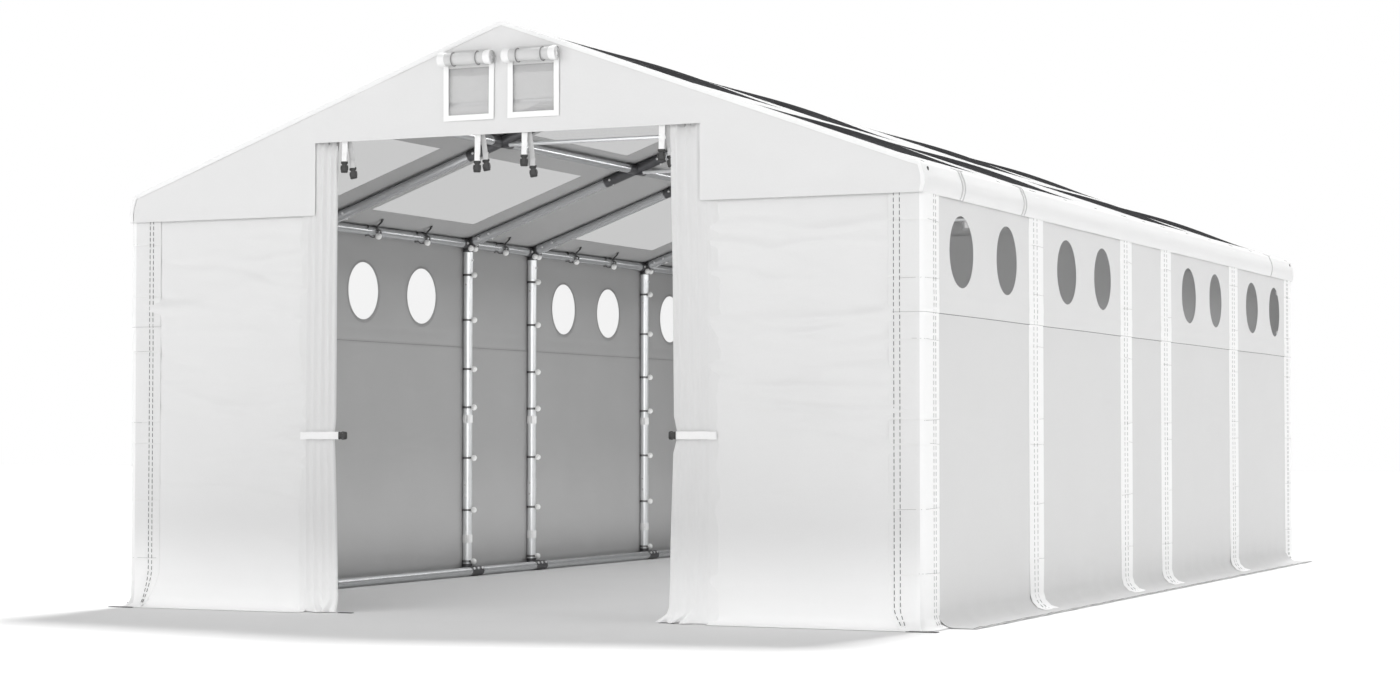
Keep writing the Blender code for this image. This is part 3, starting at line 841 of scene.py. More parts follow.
def ring_shape(tree, entry):
    """Rubber ring round a tube, drawn out to the ball at +X."""
    circle = result_of(tree, "GeometryNodeCurvePrimitiveCircle", {"mode": "RADIUS"},
        {"Resolution": 20, "Radius": entry.outputs["Radius"]})
    section = result_of(tree, "GeometryNodeCurvePrimitiveCircle", {"mode": "RADIUS"},
        {"Resolution": 5, "Radius": entry.outputs["Cord"]})
    ring = result_of(tree, "GeometryNodeCurveToMesh", inputs={"Curve": circle, "Profile Curve": section})
    smooth = result_of(tree, "GeometryNodeSetShadeSmooth", inputs={"Geometry": ring})
    join = add_node(tree, "GeometryNodeJoinGeometry")
    for sign in (-1.0, 1.0):
        move = result_of(tree, "ShaderNodeCombineXYZ", inputs={2: maths(tree, "MULTIPLY",
            entry.outputs["Gap"], sign)})
        copy = result_of(tree, "GeometryNodeTransform", inputs={"Geometry": smooth, "Translation": move})
        tree.links.new(copy, join.inputs[0])
    return join.outputs[0]


def bolt_shape(tree, entry):
    """Washer and hexagon head that stand up from the point along +Z."""
    washer = add_node(tree, "GeometryNodeMeshCylinder", inputs={"Vertices": 16,
        "Radius": entry.outputs["Washer"], "Depth": 0.003})
    head = add_node(tree, "GeometryNodeMeshCylinder", inputs={"Vertices": 6,
        "Radius": entry.outputs["Head"], "Depth": 0.014})
    join = add_node(tree, "GeometryNodeJoinGeometry")
    for part in (washer, head):
        tree.links.new(part.outputs[0], join.inputs[0])
    return join.outputs[0]


def block_shape(tree, entry):
    """Block of the three sizes, for zip teeth."""
    size = result_of(tree, "ShaderNodeCombineXYZ", inputs={0: entry.outputs["Deep"],
        1: entry.outputs["Wide"], 2: entry.outputs["Tall"]})
    return result_of(tree, "GeometryNodeMeshCube", inputs={"Size": size})


def run_tree(name, mesh, tree, values):
    """Run a tree on a mesh and keep the result as a plain piece."""
    obj = link_mesh(name, mesh, [])
    modifier = obj.modifiers.new(tree.name, "NODES")
    modifier.node_group = tree
    for item in tree.interface.items_tree:
        if item.item_type == "SOCKET" and item.in_out == "INPUT" and item.name in values:
            modifier[item.identifier] = values[item.name]
    graph = bpy.context.evaluated_depsgraph_get()
    made = bpy.data.meshes.new_from_object(obj.evaluated_get(graph))
    if not made.polygons:
        raise RuntimeError(f"{name} came out empty")
    made.name = name
    obj.modifiers.clear()
    obj.data = made
    return obj


def stitches(name, lines, shade="light"):
    """Piece of stitches along lines, each an array of points."""
    seams = bpy.context.scene.tent_stitching
    points, edges = [], []
    for line in lines:
        first = len(points)
        points += [tuple(point) for point in line]
        edges += [(k, k + 1) for k in range(first, len(points) - 1)]
    mesh = bpy.data.meshes.new(name + "_lines")
    mesh.from_pydata(points, edges, [])
    obj = run_tree(name, mesh, stitch_tree(), {"Length": seams.length, "Pitch": seams.pitch,
        "Width": seams.width, "Finish": thread_finish(shade)})
    return settle(obj)


def scatter(name, rows, tree, values):
    """Piece of one shape set at rows of (place, up, facing)."""
    mesh = bpy.data.meshes.new(name + "_points")
    mesh.from_pydata([tuple(row[0]) for row in rows], [], [])
    for index, label in ((1, "up"), (2, "facing")):
        layer = mesh.attributes.new(label, "FLOAT_VECTOR", "POINT")
        layer.data.foreach_set("vector", [value for row in rows for value in row[index]])
    return settle(run_tree(name, mesh, tree, values))


def bolts(name, rows, head=0.0085, washer=0.012):
    tree = scatter_tree("bolt_heads", bolt_shape, {"Head": head, "Washer": washer})
    rows = [(place, out, (0.31, 0.47, 0.83)) for place, out in rows]
    return scatter(name, rows, tree, {"Head": head, "Washer": washer, "Finish": zinc_bolt()})


# Shapes of the tent


def axis_z(x):
    """Height of a rafter's axis."""
    return RIDGE_Z - AXIS_DROP - SLOPE * abs(x)


def long_bays():
    return [bay for bay in BAYS if bay[1] - bay[0] > LONG_BAY]


def round_centres():
    return [(a + b) / 2 + shift for a, b in long_bays() for shift in (-ROUND_OFFSET, ROUND_OFFSET)]


def foot(w, bend):
    """Outward reach and height of a wall that curves out onto the floor."""
    turn = unit(w / bend) * math.pi / 2
    out = np.where(w < 0.0, bend - w, np.where(w < bend, bend * (1 - np.sin(turn)), 0.0))
    z = np.where(w < 0.0, 0.0, np.where(w < bend, bend * (1 - np.cos(turn)), w)) + FLOOR_GAP
    return out, z


def seam_step(w):
    """Outward step of the upper cloth, which laps over the lower one at the seam."""
    ridge = 0.003 * hill(w - SEAM_Z - 0.09, 0.018)
    return np.where(w > SEAM_Z, 0.0015 + 0.0022 * np.exp(-np.abs(w - SEAM_Z) / 0.04) + ridge, 0.0)


def bay_bow(y):
    """Outward bow of a wall between its posts, 0 to 1."""
    return sum(np.sin(math.pi * unit((y - a) / (b - a))) ** 2 * (b - a) / 2.0 for a, b in BAYS)


def loose(y):
    """Share of a wall's folds: 0 under the bands and at the posts, 1 between them."""
    held = (*BAND_Y, -FOLD_END_Y, FOLD_END_Y)
    return math.prod(1.0 - np.exp(-((y - place) / 0.20) ** 4) for place in held)


def side_surface(side, seed):
    cloth = bpy.context.scene.tent_cloth
    fine = creases(seed, 110, (-4.3, 4.3), (0.12, 1.6), (0.12, 0.40), (0.010, 0.026), cloth.fold,
        (0.0, 0.10), 0.25)
    broad = creases(seed + 1, 26, (-4.3, 4.3), (0.2, 2.3), (0.3, 0.7), (0.05, 0.12), 2 * cloth.fold,
        (0.0, 0.5))

    def surface(y, w):
        out, z = foot(w, SIDE_BEND)
        ripple = 0.004 * np.sin(7.3 * y + 1.1 * side) * np.sin(17.0 * y) * np.clip(0.3 - w, 0.0,
            0.3) / 0.3
        bow = 0.012 * bay_bow(y) * np.sin(math.pi * np.clip(w, 0.0, WALL_TOP_Z) / WALL_TOP_Z)
        folds = (fine(y, w) + broad(y, w)) * loose(y)
        away = np.maximum(bow + folds, -0.0005) - 0.0035 + seam_step(w) + out + ripple
        return stacked(side * (HALF_WIDTH + away), y, z + np.abs(ripple))
    return surface


def sleeve_surface(side, end):
    """Corner sleeve: u runs from the side edge round the corner to the end edge."""
    corner = SLEEVE_STRAIGHT + SLEEVE_ARC

    def surface(u, w):
        share, height = (0.75, 0.22) if side < 0 else (0.5, 0.10)
        cut = 1.0 - share * unit(1.0 - w / height) ** 1.5
        limit = corner + (SLEEVE_LENGTH - corner) * cut
        u = u - np.maximum(u - corner, 0.0) * (1.0 - cut)
        turn = unit((u - SLEEVE_STRAIGHT) / SLEEVE_ARC)
        angle = turn * math.pi / 2
        x = HALF_WIDTH - CORNER_RADIUS + CORNER_RADIUS * np.cos(angle) - np.maximum(u - corner, 0.0)
        y = SLEEVE_SIDE_Y + np.minimum(u, SLEEVE_STRAIGHT) + CORNER_RADIUS * np.sin(angle)
        bend = SLEEVE_BEND + (END_BEND - SLEEVE_BEND) * turn
        out, z = foot(w, bend)
        puff = (0.030 if side < 0 else 0.002) * np.cos(angle) ** 2 * unit(u / 0.12)
        away = 0.003 + seam_step(w) + out + crease_lines(w, side * 3 + end) + puff
        edge = np.minimum(u, limit - u)
        away = away - 0.004 * np.exp(-edge / 0.02)
        return stacked(side * (x + away * np.cos(angle)), end * (y + away * np.sin(angle)), z)
    return surface


def crease_levels(shift):
    return [level + 0.02 * math.sin(5.0 * number + shift) for number, level in enumerate(CREASE_Z)]


def crease_lines(w, shift=0):
    """Sharp packing creases across a band."""
    return -sum(0.0022 * hill(w - level, CREASE_HALF) for level in crease_levels(shift))


def crease_stops(shift=0):
    return [level + step * CREASE_HALF for level in crease_levels(shift) for step in (-2, -1, 0, 1, 2)]


def band_surface(side, middle_y, number):
    half = BAND_WIDTH / 2

    def surface(u, w):
        out, z = foot(w, SIDE_BEND)
        flat = unit(np.abs(u) / half)
        away = -0.0012 + 0.008 * (1 - flat ** 2) + seam_step(w) + crease_lines(w, number) + out
        narrow = 1.0 - 0.07 * hill(w - SIDE_BEND, 0.12)
        return stacked(side * (HALF_WIDTH + away), middle_y + u * narrow, z + 0.0025)
    return surface


def end_surface(end, seed, offset=0.0):
    """End wall cloth: u is x, w its height."""
    cloth = bpy.context.scene.tent_cloth
    fold = cloth.fold if end < 0 else 0.4 * cloth.fold
    fine = creases(seed, 210, (-2.4, 2.4), (0.7, 2.2), (0.16, 0.55), (0.018, 0.036), 4.6 * fold,
        (-0.06, 0.12), 0.45)
    broad = creases(seed + 1, 30, (-2.4, 2.4), (0.2, 2.4), (0.2, 0.5), (0.03, 0.08), 4.2 * fold,
        (-0.1, 0.3))

    def surface(x, w):
        out, z = foot(w, END_BEND)
        away = -0.003 + offset + out + np.maximum(fine(x, w) + broad(x, w), -0.004)
        return stacked(x, end * (HALF_LENGTH + away), z)
    return surface


def gable_surface(end, seed):
    cloth = bpy.context.scene.tent_cloth
    folds = creases(seed, 46, (-2.4, 2.4), (2.3, 3.3), (0.10, 0.40), (0.012, 0.035), 1.3 * cloth.fold,
        (0.0, 0.75), 0.3)

    def surface(x, z):
        lower = np.where(np.abs(x) > DOOR_HALF, z - DROP_Z, z - DOOR_TOP_Z)
        away = 0.012 + 0.005 * np.exp(-np.maximum(lower, 0.0) / 0.04) + folds(x, z)
        beside = np.exp(-np.abs(np.abs(x) - DOOR_HALF) / 0.05) * unit((DOOR_TOP_Z + 0.06 - z) / 0.06)
        away = away - 0.005 * beside
        return stacked(x, end * (HALF_LENGTH + away), z)
    return surface


def roof_lengths():
    """Distances from the ridge to the eave's round, its end, and the drop's lower edge."""
    eave_x = HALF_WIDTH + 0.0043 - EAVE_RADIUS
    slope_end = (eave_x + EAVE_RADIUS * SIN_PITCH) / COS_PITCH
    round_end = slope_end + EAVE_RADIUS * (math.pi / 2 - PITCH)
    eave_z = RIDGE_Z - SLOPE * eave_x - EAVE_RADIUS / COS_PITCH
    return slope_end, round_end, round_end + eave_z - DROP_Z, eave_x, eave_z


def roof_surface():
    """Roof section, drop to drop, carried along the tent: u across from the ridge, v along."""
    slope_end, round_end, drop_end, eave_x, eave_z = roof_lengths()
    cloth = bpy.context.scene.tent_cloth
    folds = creases(11, 60, (-2.5, 2.5), (-4.4, 4.4), (0.10, 0.5), (0.02, 0.05), cloth.fold, (1.2, 0.5))

    def surface(u, v):
        side = np.where(u < 0.0, -1.0, 1.0)
        reach = np.abs(u)
        run = np.minimum(reach, slope_end) * COS_PITCH
        angle = PITCH + np.clip((reach - slope_end) / EAVE_RADIUS, 0.0, math.pi / 2 - PITCH)
        down = unit((reach - round_end) / (drop_end - round_end))
        pinch = sum(hill(v - y, 0.10) for y in FRAME_Y)
        bulge = 0.017 * np.sin(math.pi * down) ** 0.8 * (1.0 - 0.35 * pinch)
        bulge += 0.005 * down + 0.002 * down * np.sin(9.0 * v) + np.where(u < 0.0, 0.016, 0.0) * down ** 2
        on_slope = reach <= slope_end
        x = np.where(on_slope, run, eave_x + EAVE_RADIUS * np.sin(angle) + bulge)
        z = np.where(on_slope, RIDGE_Z - SLOPE * np.sqrt(run ** 2 + RIDGE_ROUND ** 2),
            np.where(reach < round_end, eave_z + EAVE_RADIUS * np.cos(angle),
            eave_z - (reach - round_end)))
        raised = np.where(on_slope, np.maximum(folds(u, v), -0.001), 0.0)
        x = x + raised * SIN_PITCH
        z = z + raised * COS_PITCH
        return stacked(side * x, v, z)
    return surface


def curtain_surface(side):
    """Gathered curtain: u 0 to 1 is the front layer, 1 to 2 the layer folded behind it."""
    outer = 1.34
    ridges, folds = 5, 9

    def surface(u, w):
        inner = np.interp(w, *np.transpose(CURTAIN_INNER[side]))
        pinch = hill(w - 1.02, 0.10)
        front = u < 1.0
        share = np.where(front, u, 2.0 - u)
        x = outer + (inner - outer) * share
        turn = np.where(front, 0.06, 0.14)
        end = unit((share - 1.0 + turn) / turn)
        loose_cloth = unit(share / 0.35) * (1.0 - 0.4 * pinch) * (0.8 + 0.2 * np.cos(1.3 * w + 4 * share))
        tucked = unit((w - 2.22) / 0.08) * unit((x - 1.19) / 0.03)
        ridge = 0.5 + 0.5 * np.sin(2 * math.pi * ridges * share + 0.4 + 0.5 * np.sin(1.7 * w))
        front_y = -HALF_LENGTH - 0.0022 - 0.012 * ridge ** 1.5 * loose_cloth * (1.0 - 0.75 * tucked)
        wave = np.sin(2 * math.pi * folds * share + 1.9 + 0.35 * np.sin(2.1 * w))
        back_y = -HALF_LENGTH + 0.038 + 0.017 * wave * (1.0 - 0.3 * pinch)
        fold_y = -HALF_LENGTH + 0.008
        front_y = front_y + 0.009 * unit(1.0 - share / 0.14)
        y = np.where(front, front_y, back_y)
        y = y + (fold_y - y) * end ** 2
        top = unit((w - 2.655) / 0.05) * np.sin(math.pi * unit((x - 1.03) / 0.20))
        y = y + 0.030 * top * front
        low = unit(1.0 - w / 0.10)
        swirl = low ** 2 * unit(share / 0.3) * np.where(front, 1.0, 0.3)
        y = y - 0.042 * swirl * (0.40 + 0.60 * np.sin(19 * share))
        x = x + 0.040 * swirl * np.cos(7 * share)
        return stacked(side * x, y, w + FLOOR_GAP)
    return surface


# Pieces


class TENT_OT_posts(bpy.types.Operator):
    """Posts with splices, cloth ties and foot plates"""
    bl_idname = "tent.posts"
    bl_label = "Posts"

    def collar(self, kit, start, height, radius, finish):
        """Ring round the post, a little chamfered at both ends."""
        profile = [(0.0, TUBE + 0.0002), (0.0012, radius), (height - 0.0012, radius),
            (height, TUBE + 0.0002)]
        kit.turned(start, (0, 0, 1), profile, finish, 28)

    def execute(self, context):
        tube, joint, wrap = galvanised(), joint_steel(), plain_finish("white_wrap", grey(0.95), 0.6)
        bolt_rows = []
        for side_name, side in SIDES:
            for number, y in enumerate(FRAME_Y, 1):
                node = f"post_{side_name}_{number}"
                low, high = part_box(node)
                x = side * POST_X
                kit = Kit()
                kit.box(low, (high.x, high.y, 0.005), joint, 0.001)
                self.collar(kit, (x, y, 0.004), FOOT_COLLAR, TUBE + 0.0035, joint)
                kit.tube((x, y, 0.08), (x, y, 0.51), TUBE, tube, 28)
                self.collar(kit, (x, y, SPLICE_FOOT_Z), SPLICE_LENGTH, SPLICE, tube)
                kit.tube((x, y, 0.69), (x, y, POST_TOP_Z), TUBE, tube, 28)
                for level in WRAP_Z:
                    self.collar(kit, (x, y, level - WRAP_HEIGHT / 2), WRAP_HEIGHT, SLEEVE, wrap)
                    slit = (x - side * 0.35 * SLEEVE, y - 0.94 * SLEEVE)
                    kit.box((slit[0] - 0.0012, slit[1] - 0.001, level - 0.028),
                        (slit[0] + 0.0012, slit[1] + 0.001, level + 0.028), joint, 0.0003)
                kit.piece(node + "_steel", "galvanised_tube", [node])
                for level in POST_BOLT_Z:
                    bolt_rows.append(((x, y - SPLICE, level), (0, -1, 0)))
                    bolt_rows.append(((x, y + SPLICE, level), (0, 1, 0)))
                for turn in PLATE_BOLT_TURNS:
                    bolt_rows.append(((x + PLATE_BOLT_REACH * math.cos(turn),
                        y + PLATE_BOLT_REACH * math.sin(turn), 0.007), (0, 0, 1)))
        bolts("post_bolts", bolt_rows, 0.0065, 0.009)
        return {"FINISHED"}


class TENT_OT_roof_frames(bpy.types.Operator):
    """Rafters, ties, ridge and middle purlins with their connectors"""
    bl_idname = "tent.roof_frames"
    bl_label = "Roof frames"

    def execute(self, context):
        tube, thin, joint = shaded_steel(), galvanised(), joint_steel()
        bolt_rows = []
        slope = {side: Vector((side * COS_PITCH, 0.0, -SIN_PITCH)) for _, side in SIDES}
        for number, y in enumerate(FRAME_Y, 1):
            kit = Kit()
            ridge = Vector((0.0, y, axis_z(0.0)))
            eave_length = (POST_X - 0.15 * COS_PITCH) / COS_PITCH
            for _, side in SIDES:
                along = slope[side]
                knee = ridge + along * (MID_PURLIN_X / COS_PITCH)
                kit.tube(ridge, ridge + along * eave_length, TUBE, tube, 24)
                kit.tube(ridge, ridge + along * RAFTER_SLEEVE, SLEEVE, joint, 24)
                kit.tube(knee - along * RAFTER_SLEEVE, knee + along * RAFTER_SLEEVE, SLEEVE, joint, 24)
                kit.tube(ridge + along * (eave_length - 0.10), ridge + along * eave_length, SLEEVE, tube,
                    24)
                down = Vector((-side * SIN_PITCH, 0.0, -COS_PITCH))
                for base in (knee - along * 0.20, knee + along * 0.20, ridge + along * 0.2,
                        ridge + along * (eave_length - 0.05)):
                    for facing in (Vector((0, -1, 0)), Vector((0, 1, 0)), down):
                        bolt_rows.append((base + facing * SLEEVE, facing))
            kit.tube((-MID_PURLIN_X, y, TIE_Z), (MID_PURLIN_X, y, TIE_Z), TIE_TUBE, thin, 16)
            for _, side in SIDES:
                x = side * (MID_PURLIN_X - 0.035)
                kit.box((x - 0.03, y - 0.018, TIE_Z - 0.020), (x + 0.03, y + 0.018, TIE_Z + 0.022), joint,
                    0.003)
            reach = FRAME_Y[number] if number < len(FRAME_Y) else y
            for x in (-MID_PURLIN_X, 0.0, MID_PURLIN_X):
                z = axis_z(x)
                if number < len(FRAME_Y):
                    kit.tube((x, y, z), (x, reach - TUBE, z), TUBE - 0.001, tube, 20)
                before = 0.0 if number == 1 else PURLIN_SLEEVE
                after = 0.0 if number == len(FRAME_Y) else PURLIN_SLEEVE
                if x == 0.0 or number < len(FRAME_Y):
                    kit.tube((x, y - before - 0.02, z), (x, y + after + 0.02, z), SLEEVE - 0.0007, joint,
                        20)
            kit.piece(f"roof_frame_{number}_steel", "galvanised_tube", [f"roof_frame_{number}"])
        bolts("roof_bolts", bolt_rows, 0.006, 0.0085)
        return {"FINISHED"}


class TENT_OT_eave_purlins(bpy.types.Operator):
    """Eave tubes with the connectors that take posts and rafters"""
    bl_idname = "tent.eave_purlins"
    bl_label = "Eave purlins"

    def execute(self, context):
        tube, post, joint = shaded_steel(), galvanised(), joint_steel()
        bolt_rows = []
        for side_name, side in SIDES:
            low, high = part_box(f"eave_purlin_{side_name}")
            x, z = side * POST_X, axis_z(POST_X)
            kit = Kit()
            kit.tube((x, low.y, z), (x, high.y, z), TUBE, tube, 24)
            up = Vector((-side * COS_PITCH, 0.0, SIN_PITCH))
            for number, y in enumerate(FRAME_Y, 1):
                centre = Vector((x, y, z))
                back = -0.02 if number == 1 else -EAVE_SLEEVE
                front = 0.02 if number == len(FRAME_Y) else EAVE_SLEEVE
                kit.tube((x, y + back, z), (x, y + front, z), SLEEVE, joint, 20)
                kit.tube((x, y, z - 0.05), (x, y, POST_TOP_Z + 0.001), SPLICE, post, 28)
                kit.tube((x, y, z), (x, y, z - 0.06), SLEEVE, joint, 20)
                kit.tube(centre + up * 0.04, centre + up * 0.152, SLEEVE, tube, 24)
                kit.tube(centre, centre + up * 0.06, SLEEVE + 0.0008, joint, 20)
                kit.ball(centre, 0.042, joint)
                inward = Vector((-side, 0.0, 0.0))
                for place, facing in ((centre + Vector((0, 0.07, 0)), inward),
                        (centre - Vector((0, 0.07, 0)), inward), (centre + Vector((0, 0, -0.12)), inward),
                        (centre + up * 0.11, Vector((0, -1, 0)))):
                    if abs(place.y) < abs(low.y):
                        bolt_rows.append((place + facing * SLEEVE, facing))
            kit.piece(f"eave_purlin_{side_name}_steel", "galvanised_tube", [f"eave_purlin_{side_name}"])
        bolts("eave_bolts", bolt_rows, 0.007, 0.010)
        return {"FINISHED"}


class TENT_OT_base_rail(bpy.types.Operator):
    """Floor tube with its couplers at the posts"""
    bl_idname = "tent.base_rail"
    bl_label = "Base rail"

    def execute(self, context):
        tube, joint = shaded_steel(), joint_steel()
        low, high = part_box("base_rail")
        z = (low.z + high.z) / 2
        x = high.x - RAIL_TUBE
        y = FRAME_Y[-1] - (POST_X - x)
        kit = Kit()
        bolt_rows = []
        for _, side in SIDES:
            kit.tube((side * x, low.y, z), (side * x, high.y, z), RAIL_TUBE, tube, 20)
            for post_y in FRAME_Y:
                start, stop = max(post_y - RAIL_COUPLER, low.y), min(post_y + RAIL_COUPLER, high.y)
                kit.tube((side * x, start, z), (side * x, stop, z), RAIL_TUBE + 0.0028, joint, 24)
                inward = Vector((-side * 0.8, 0, 0.6))
                for shift in RAIL_BOLT_SHIFTS:
                    if low.y < post_y + shift < high.y:
                        centre = Vector((side * x, post_y + shift, z))
                        bolt_rows.append((centre + inward * (RAIL_TUBE + 0.003), inward))
                kit.box((side * (x + 0.028) - 0.024, post_y - 0.026, 0.0056),
                    (side * (x + 0.028) + 0.024, post_y + 0.026, 0.074), joint, 0.003)
        kit.tube((-x, y, z), (x, y, z), RAIL_TUBE - 0.001, tube, 20)
        kit.piece("base_rail_steel", "galvanised_tube", ["base_rail"])
        bolts("rail_bolts", bolt_rows, 0.007, 0.010)
        return {"FINISHED"}


class TENT_OT_roof_cover(bpy.types.Operator):
    """Roof cover with its drops, verges, piping and clear panes"""
    bl_idname = "tent.roof_cover"
    bl_label = "Roof cover"

    def execute(self, context):
        cloth = context.scene.tent_cloth
        slope_end, round_end, drop_end, _, _ = roof_lengths()
        edges = [edge / COS_PITCH for pair in PANE_X for edge in pair]
        half = sorted([0.02] + edges + [slope_end - 0.05, slope_end, round_end, drop_end])
        us = spaced([-value for value in reversed(half)] + [0.0] + half, 0.06)
        ends = [(a + PANE_END_MARGIN, b - PANE_END_MARGIN) for a, b in long_bays()]
        end_y = HALF_LENGTH + 0.0165
        vs = spaced([-end_y] + [y for pair in ends for y in pair] + [end_y], 0.07)
        us = refine(us, (slope_end, drop_end), 0.012)
        surface = roof_surface()

        def skip(u, v):
            return inside(np.abs(u) * COS_PITCH, PANE_X) & inside(v, ends)

        # The slopes take a darker copy of the roof cloth, painted shade against the strong light from
        # above; the drops keep the roof cloth
        cover = build_sheet("roof_cover_cloth", us, vs, surface, (0, 0, 1),
            [cloth_finish("slope_cloth", grey(0.60)), *outer_cloth("cover")], cloth.thickness, skip,
            paint=lambda u, v: np.abs(u) > slope_end - 0.04)
        settle(cover, ["roof_cover"])
        trims = [self.verges(end_name, end, surface) for end_name, end in ENDS]
        trims.append(self.piping(surface))
        trims.append(self.pane_welts(ends, surface))
        for side_name, side in SIDES:
            self.panes(side_name, side, ends)
        return {"FINISHED"}

    def verges(self, end_name, end, surface):
        """Hem of the cover that turns down over a gable and round the ends of the drops."""
        slope_end, round_end, drop_end, _, _ = roof_lengths()
        y = end * (HALF_LENGTH + 0.0170)
        us = spaced([-drop_end, -round_end, -slope_end, -0.03, 0.0, 0.03, slope_end, round_end, drop_end],
            0.05)
        us = refine(us, (slope_end, round_end), 0.008)

        def hem(u, w):
            place = surface(u, np.full_like(u, y))
            lean = (PITCH + np.clip((np.abs(u) - slope_end) / EAVE_RADIUS, 0.0, math.pi / 2 - PITCH))
            lean = lean * unit(np.abs(u) / 0.03)
            width = np.where(np.abs(u) < slope_end, 0.025, 0.023) * w
            place[:, 0] -= np.sign(u) * np.sin(lean) * width
            place[:, 2] -= np.cos(lean) * width
            place[:, 1] = end * (HALF_LENGTH + 0.0185 - 0.0022 * w)
            return place

        strip = build_sheet(f"roof_verge_{end_name}", us, np.array([0.0, 0.2, 1.0]), hem, (0, end, 0),
            [cloth_finish("verge_cloth", grey(0.90), 0.01)], 0.0015)
        return settle(strip)

    def piping(self, surface):
        """Raised loops over the eaves in a greyer cloth, as painted shade along them, and an eyelet at
        each corner.
        """
        slope_end, round_end, drop_end, _, _ = roof_lengths()
        kit = Kit()
        piping_shade = cloth_finish("piping_cloth", grey(0.62), 0.01)
        for _, side in SIDES:
            for y in PIPING_Y:
                us = side * spaced([slope_end - 0.03, drop_end - 0.002], 0.012)
                vs = y + 0.012 * np.sin(np.linspace(0.0, math.pi, len(us)))
                path = on_cloth(surface, us, vs, (side, 0, 0.5), 0.0015)
                kit.cord(path, 0.0045, piping_shade, up=(0, 1, 0), sides=8)
            for _, end in ENDS:
                eyelet = on_cloth(surface, side * (round_end + 0.008), end * 4.435, (side, 0, 0.2), 0.0)
                kit.turned(eyelet, (side, 0, 0.15), [(-0.002, 0.011), (0.002, 0.012), (0.003, 0.010),
                    (0.001, 0.006)], black_plastic(), 14)
        return kit.piece("eave_piping", "white_fabric")

    def pane_welts(self, ends, surface):
        """Welded borders round the roof panes."""
        kit = Kit()
        white = outer_cloth("band")[0]
        for _, side in SIDES:
            for low, high in PANE_X:
                for a, b in ends:
                    u0, u1 = (side * value / COS_PITCH for value in (low - 0.012, high + 0.012))
                    corners = [(u0, a - 0.012), (u1, a - 0.012), (u1, b + 0.012), (u0, b + 0.012)]
                    path = on_cloth(surface, [c[0] for c in corners], [c[1] for c in corners], (0, 0, 1),
                        0.0002)
                    normal = (side * SIN_PITCH, 0, COS_PITCH)
                    kit.ribbon(path, 0.02, 0.0007, white, up=normal, closed=True)
        return kit.piece("pane_welts", "white_fabric")

    def panes(self, side_name, side, ends):
        """Clear foil panes of one slope, each welded under the cover and domed a little."""
        margin = 0.0006
        below = 0.0012
        across = [((low - margin) / COS_PITCH, (high + margin) / COS_PITCH) for low, high in PANE_X]
        along = [(low - margin, high + margin) for low, high in ends]
        us = spaced([edge for pair in across for edge in pair], 0.09)
        vs = spaced([edge for pair in along for edge in pair], 0.10)

        def hump(value, spans):
            return sum(np.sin(math.pi * unit((value - low) / (high - low))) for low, high in spans)

        def surface(u, v):
            deep = below - 0.024 * hump(u, across) * hump(v, along)
            x = u * COS_PITCH
            return stacked(side * (x - deep * SIN_PITCH), v, RIDGE_Z - SLOPE * x - deep * COS_PITCH)

        def skip(u, v):
            return (hump(u, across) < 1e-6) | (hump(v, along) < 1e-6)

        foil = foil_finish("roof")
        panes = build_sheet(f"roof_panes_{side_name}", us, vs, surface, (0, 0, 1), [foil], 0.001, skip)
        settle(panes, [f"roof_windows_{side_name}"])


def refine(values, span, step):
    """Extra values inside a span on both sides of zero."""
    low, high = span
    extra = np.arange(low + step, high, step)
    merged = np.unique(np.round(np.concatenate([values, extra, -extra]), 6))
    keep = np.concatenate([[True], np.diff(merged) > 0.003])
    return merged[keep]


def bright_cloth():
    cloth = bpy.context.scene.tent_cloth
    return cloth_finish("welt_cloth", [min(1.0, value * 1.05) for value in cloth.band_colour], 0.01)


def mesh_finish():
    return plain_finish("insect_mesh", grey(0.62), 0.7, 400.0, 0.05, alpha=0.42)


def foil_finish(kind):
    """Clear foil. The roof's looks denser where it is seen edge-on, as glass does."""
    foil = bpy.context.scene.tent_foil
    name, colour, gloss, depth, cover, grazing = {"window": ("clear_window", foil.wall_colour, 0.18,
        0.002, foil.wall_cover, foil.wall_cover), "roof": ("clear_roof", foil.roof_colour, 0.35, 0.0005,
        foil.roof_cover, foil.roof_grazing)}[kind]
    ready = name in bpy.data.materials
    material = plain_finish(name, colour, gloss, 5.0, 0.05, depth=depth)
    if not ready:
        tree = material.node_tree
        shader = tree.nodes["Principled BSDF"]
        facing = add_node(tree, "ShaderNodeLayerWeight", inputs={"Blend": 0.5}).outputs["Facing"]
        density = result_of(tree, "ShaderNodeMapRange", inputs={0: facing, 1: EDGE_ON[0], 2: EDGE_ON[1],
            3: cover, 4: grazing})
        sunlight = add_node(tree, "ShaderNodeLightPath").outputs["Is Shadow Ray"]
        tree.links.new(maths(tree, "MAXIMUM", density, sunlight), shader.inputs["Alpha"])
        if kind == "roof":
            shader.inputs["Specular IOR Level"].default_value = 0.0
    return material


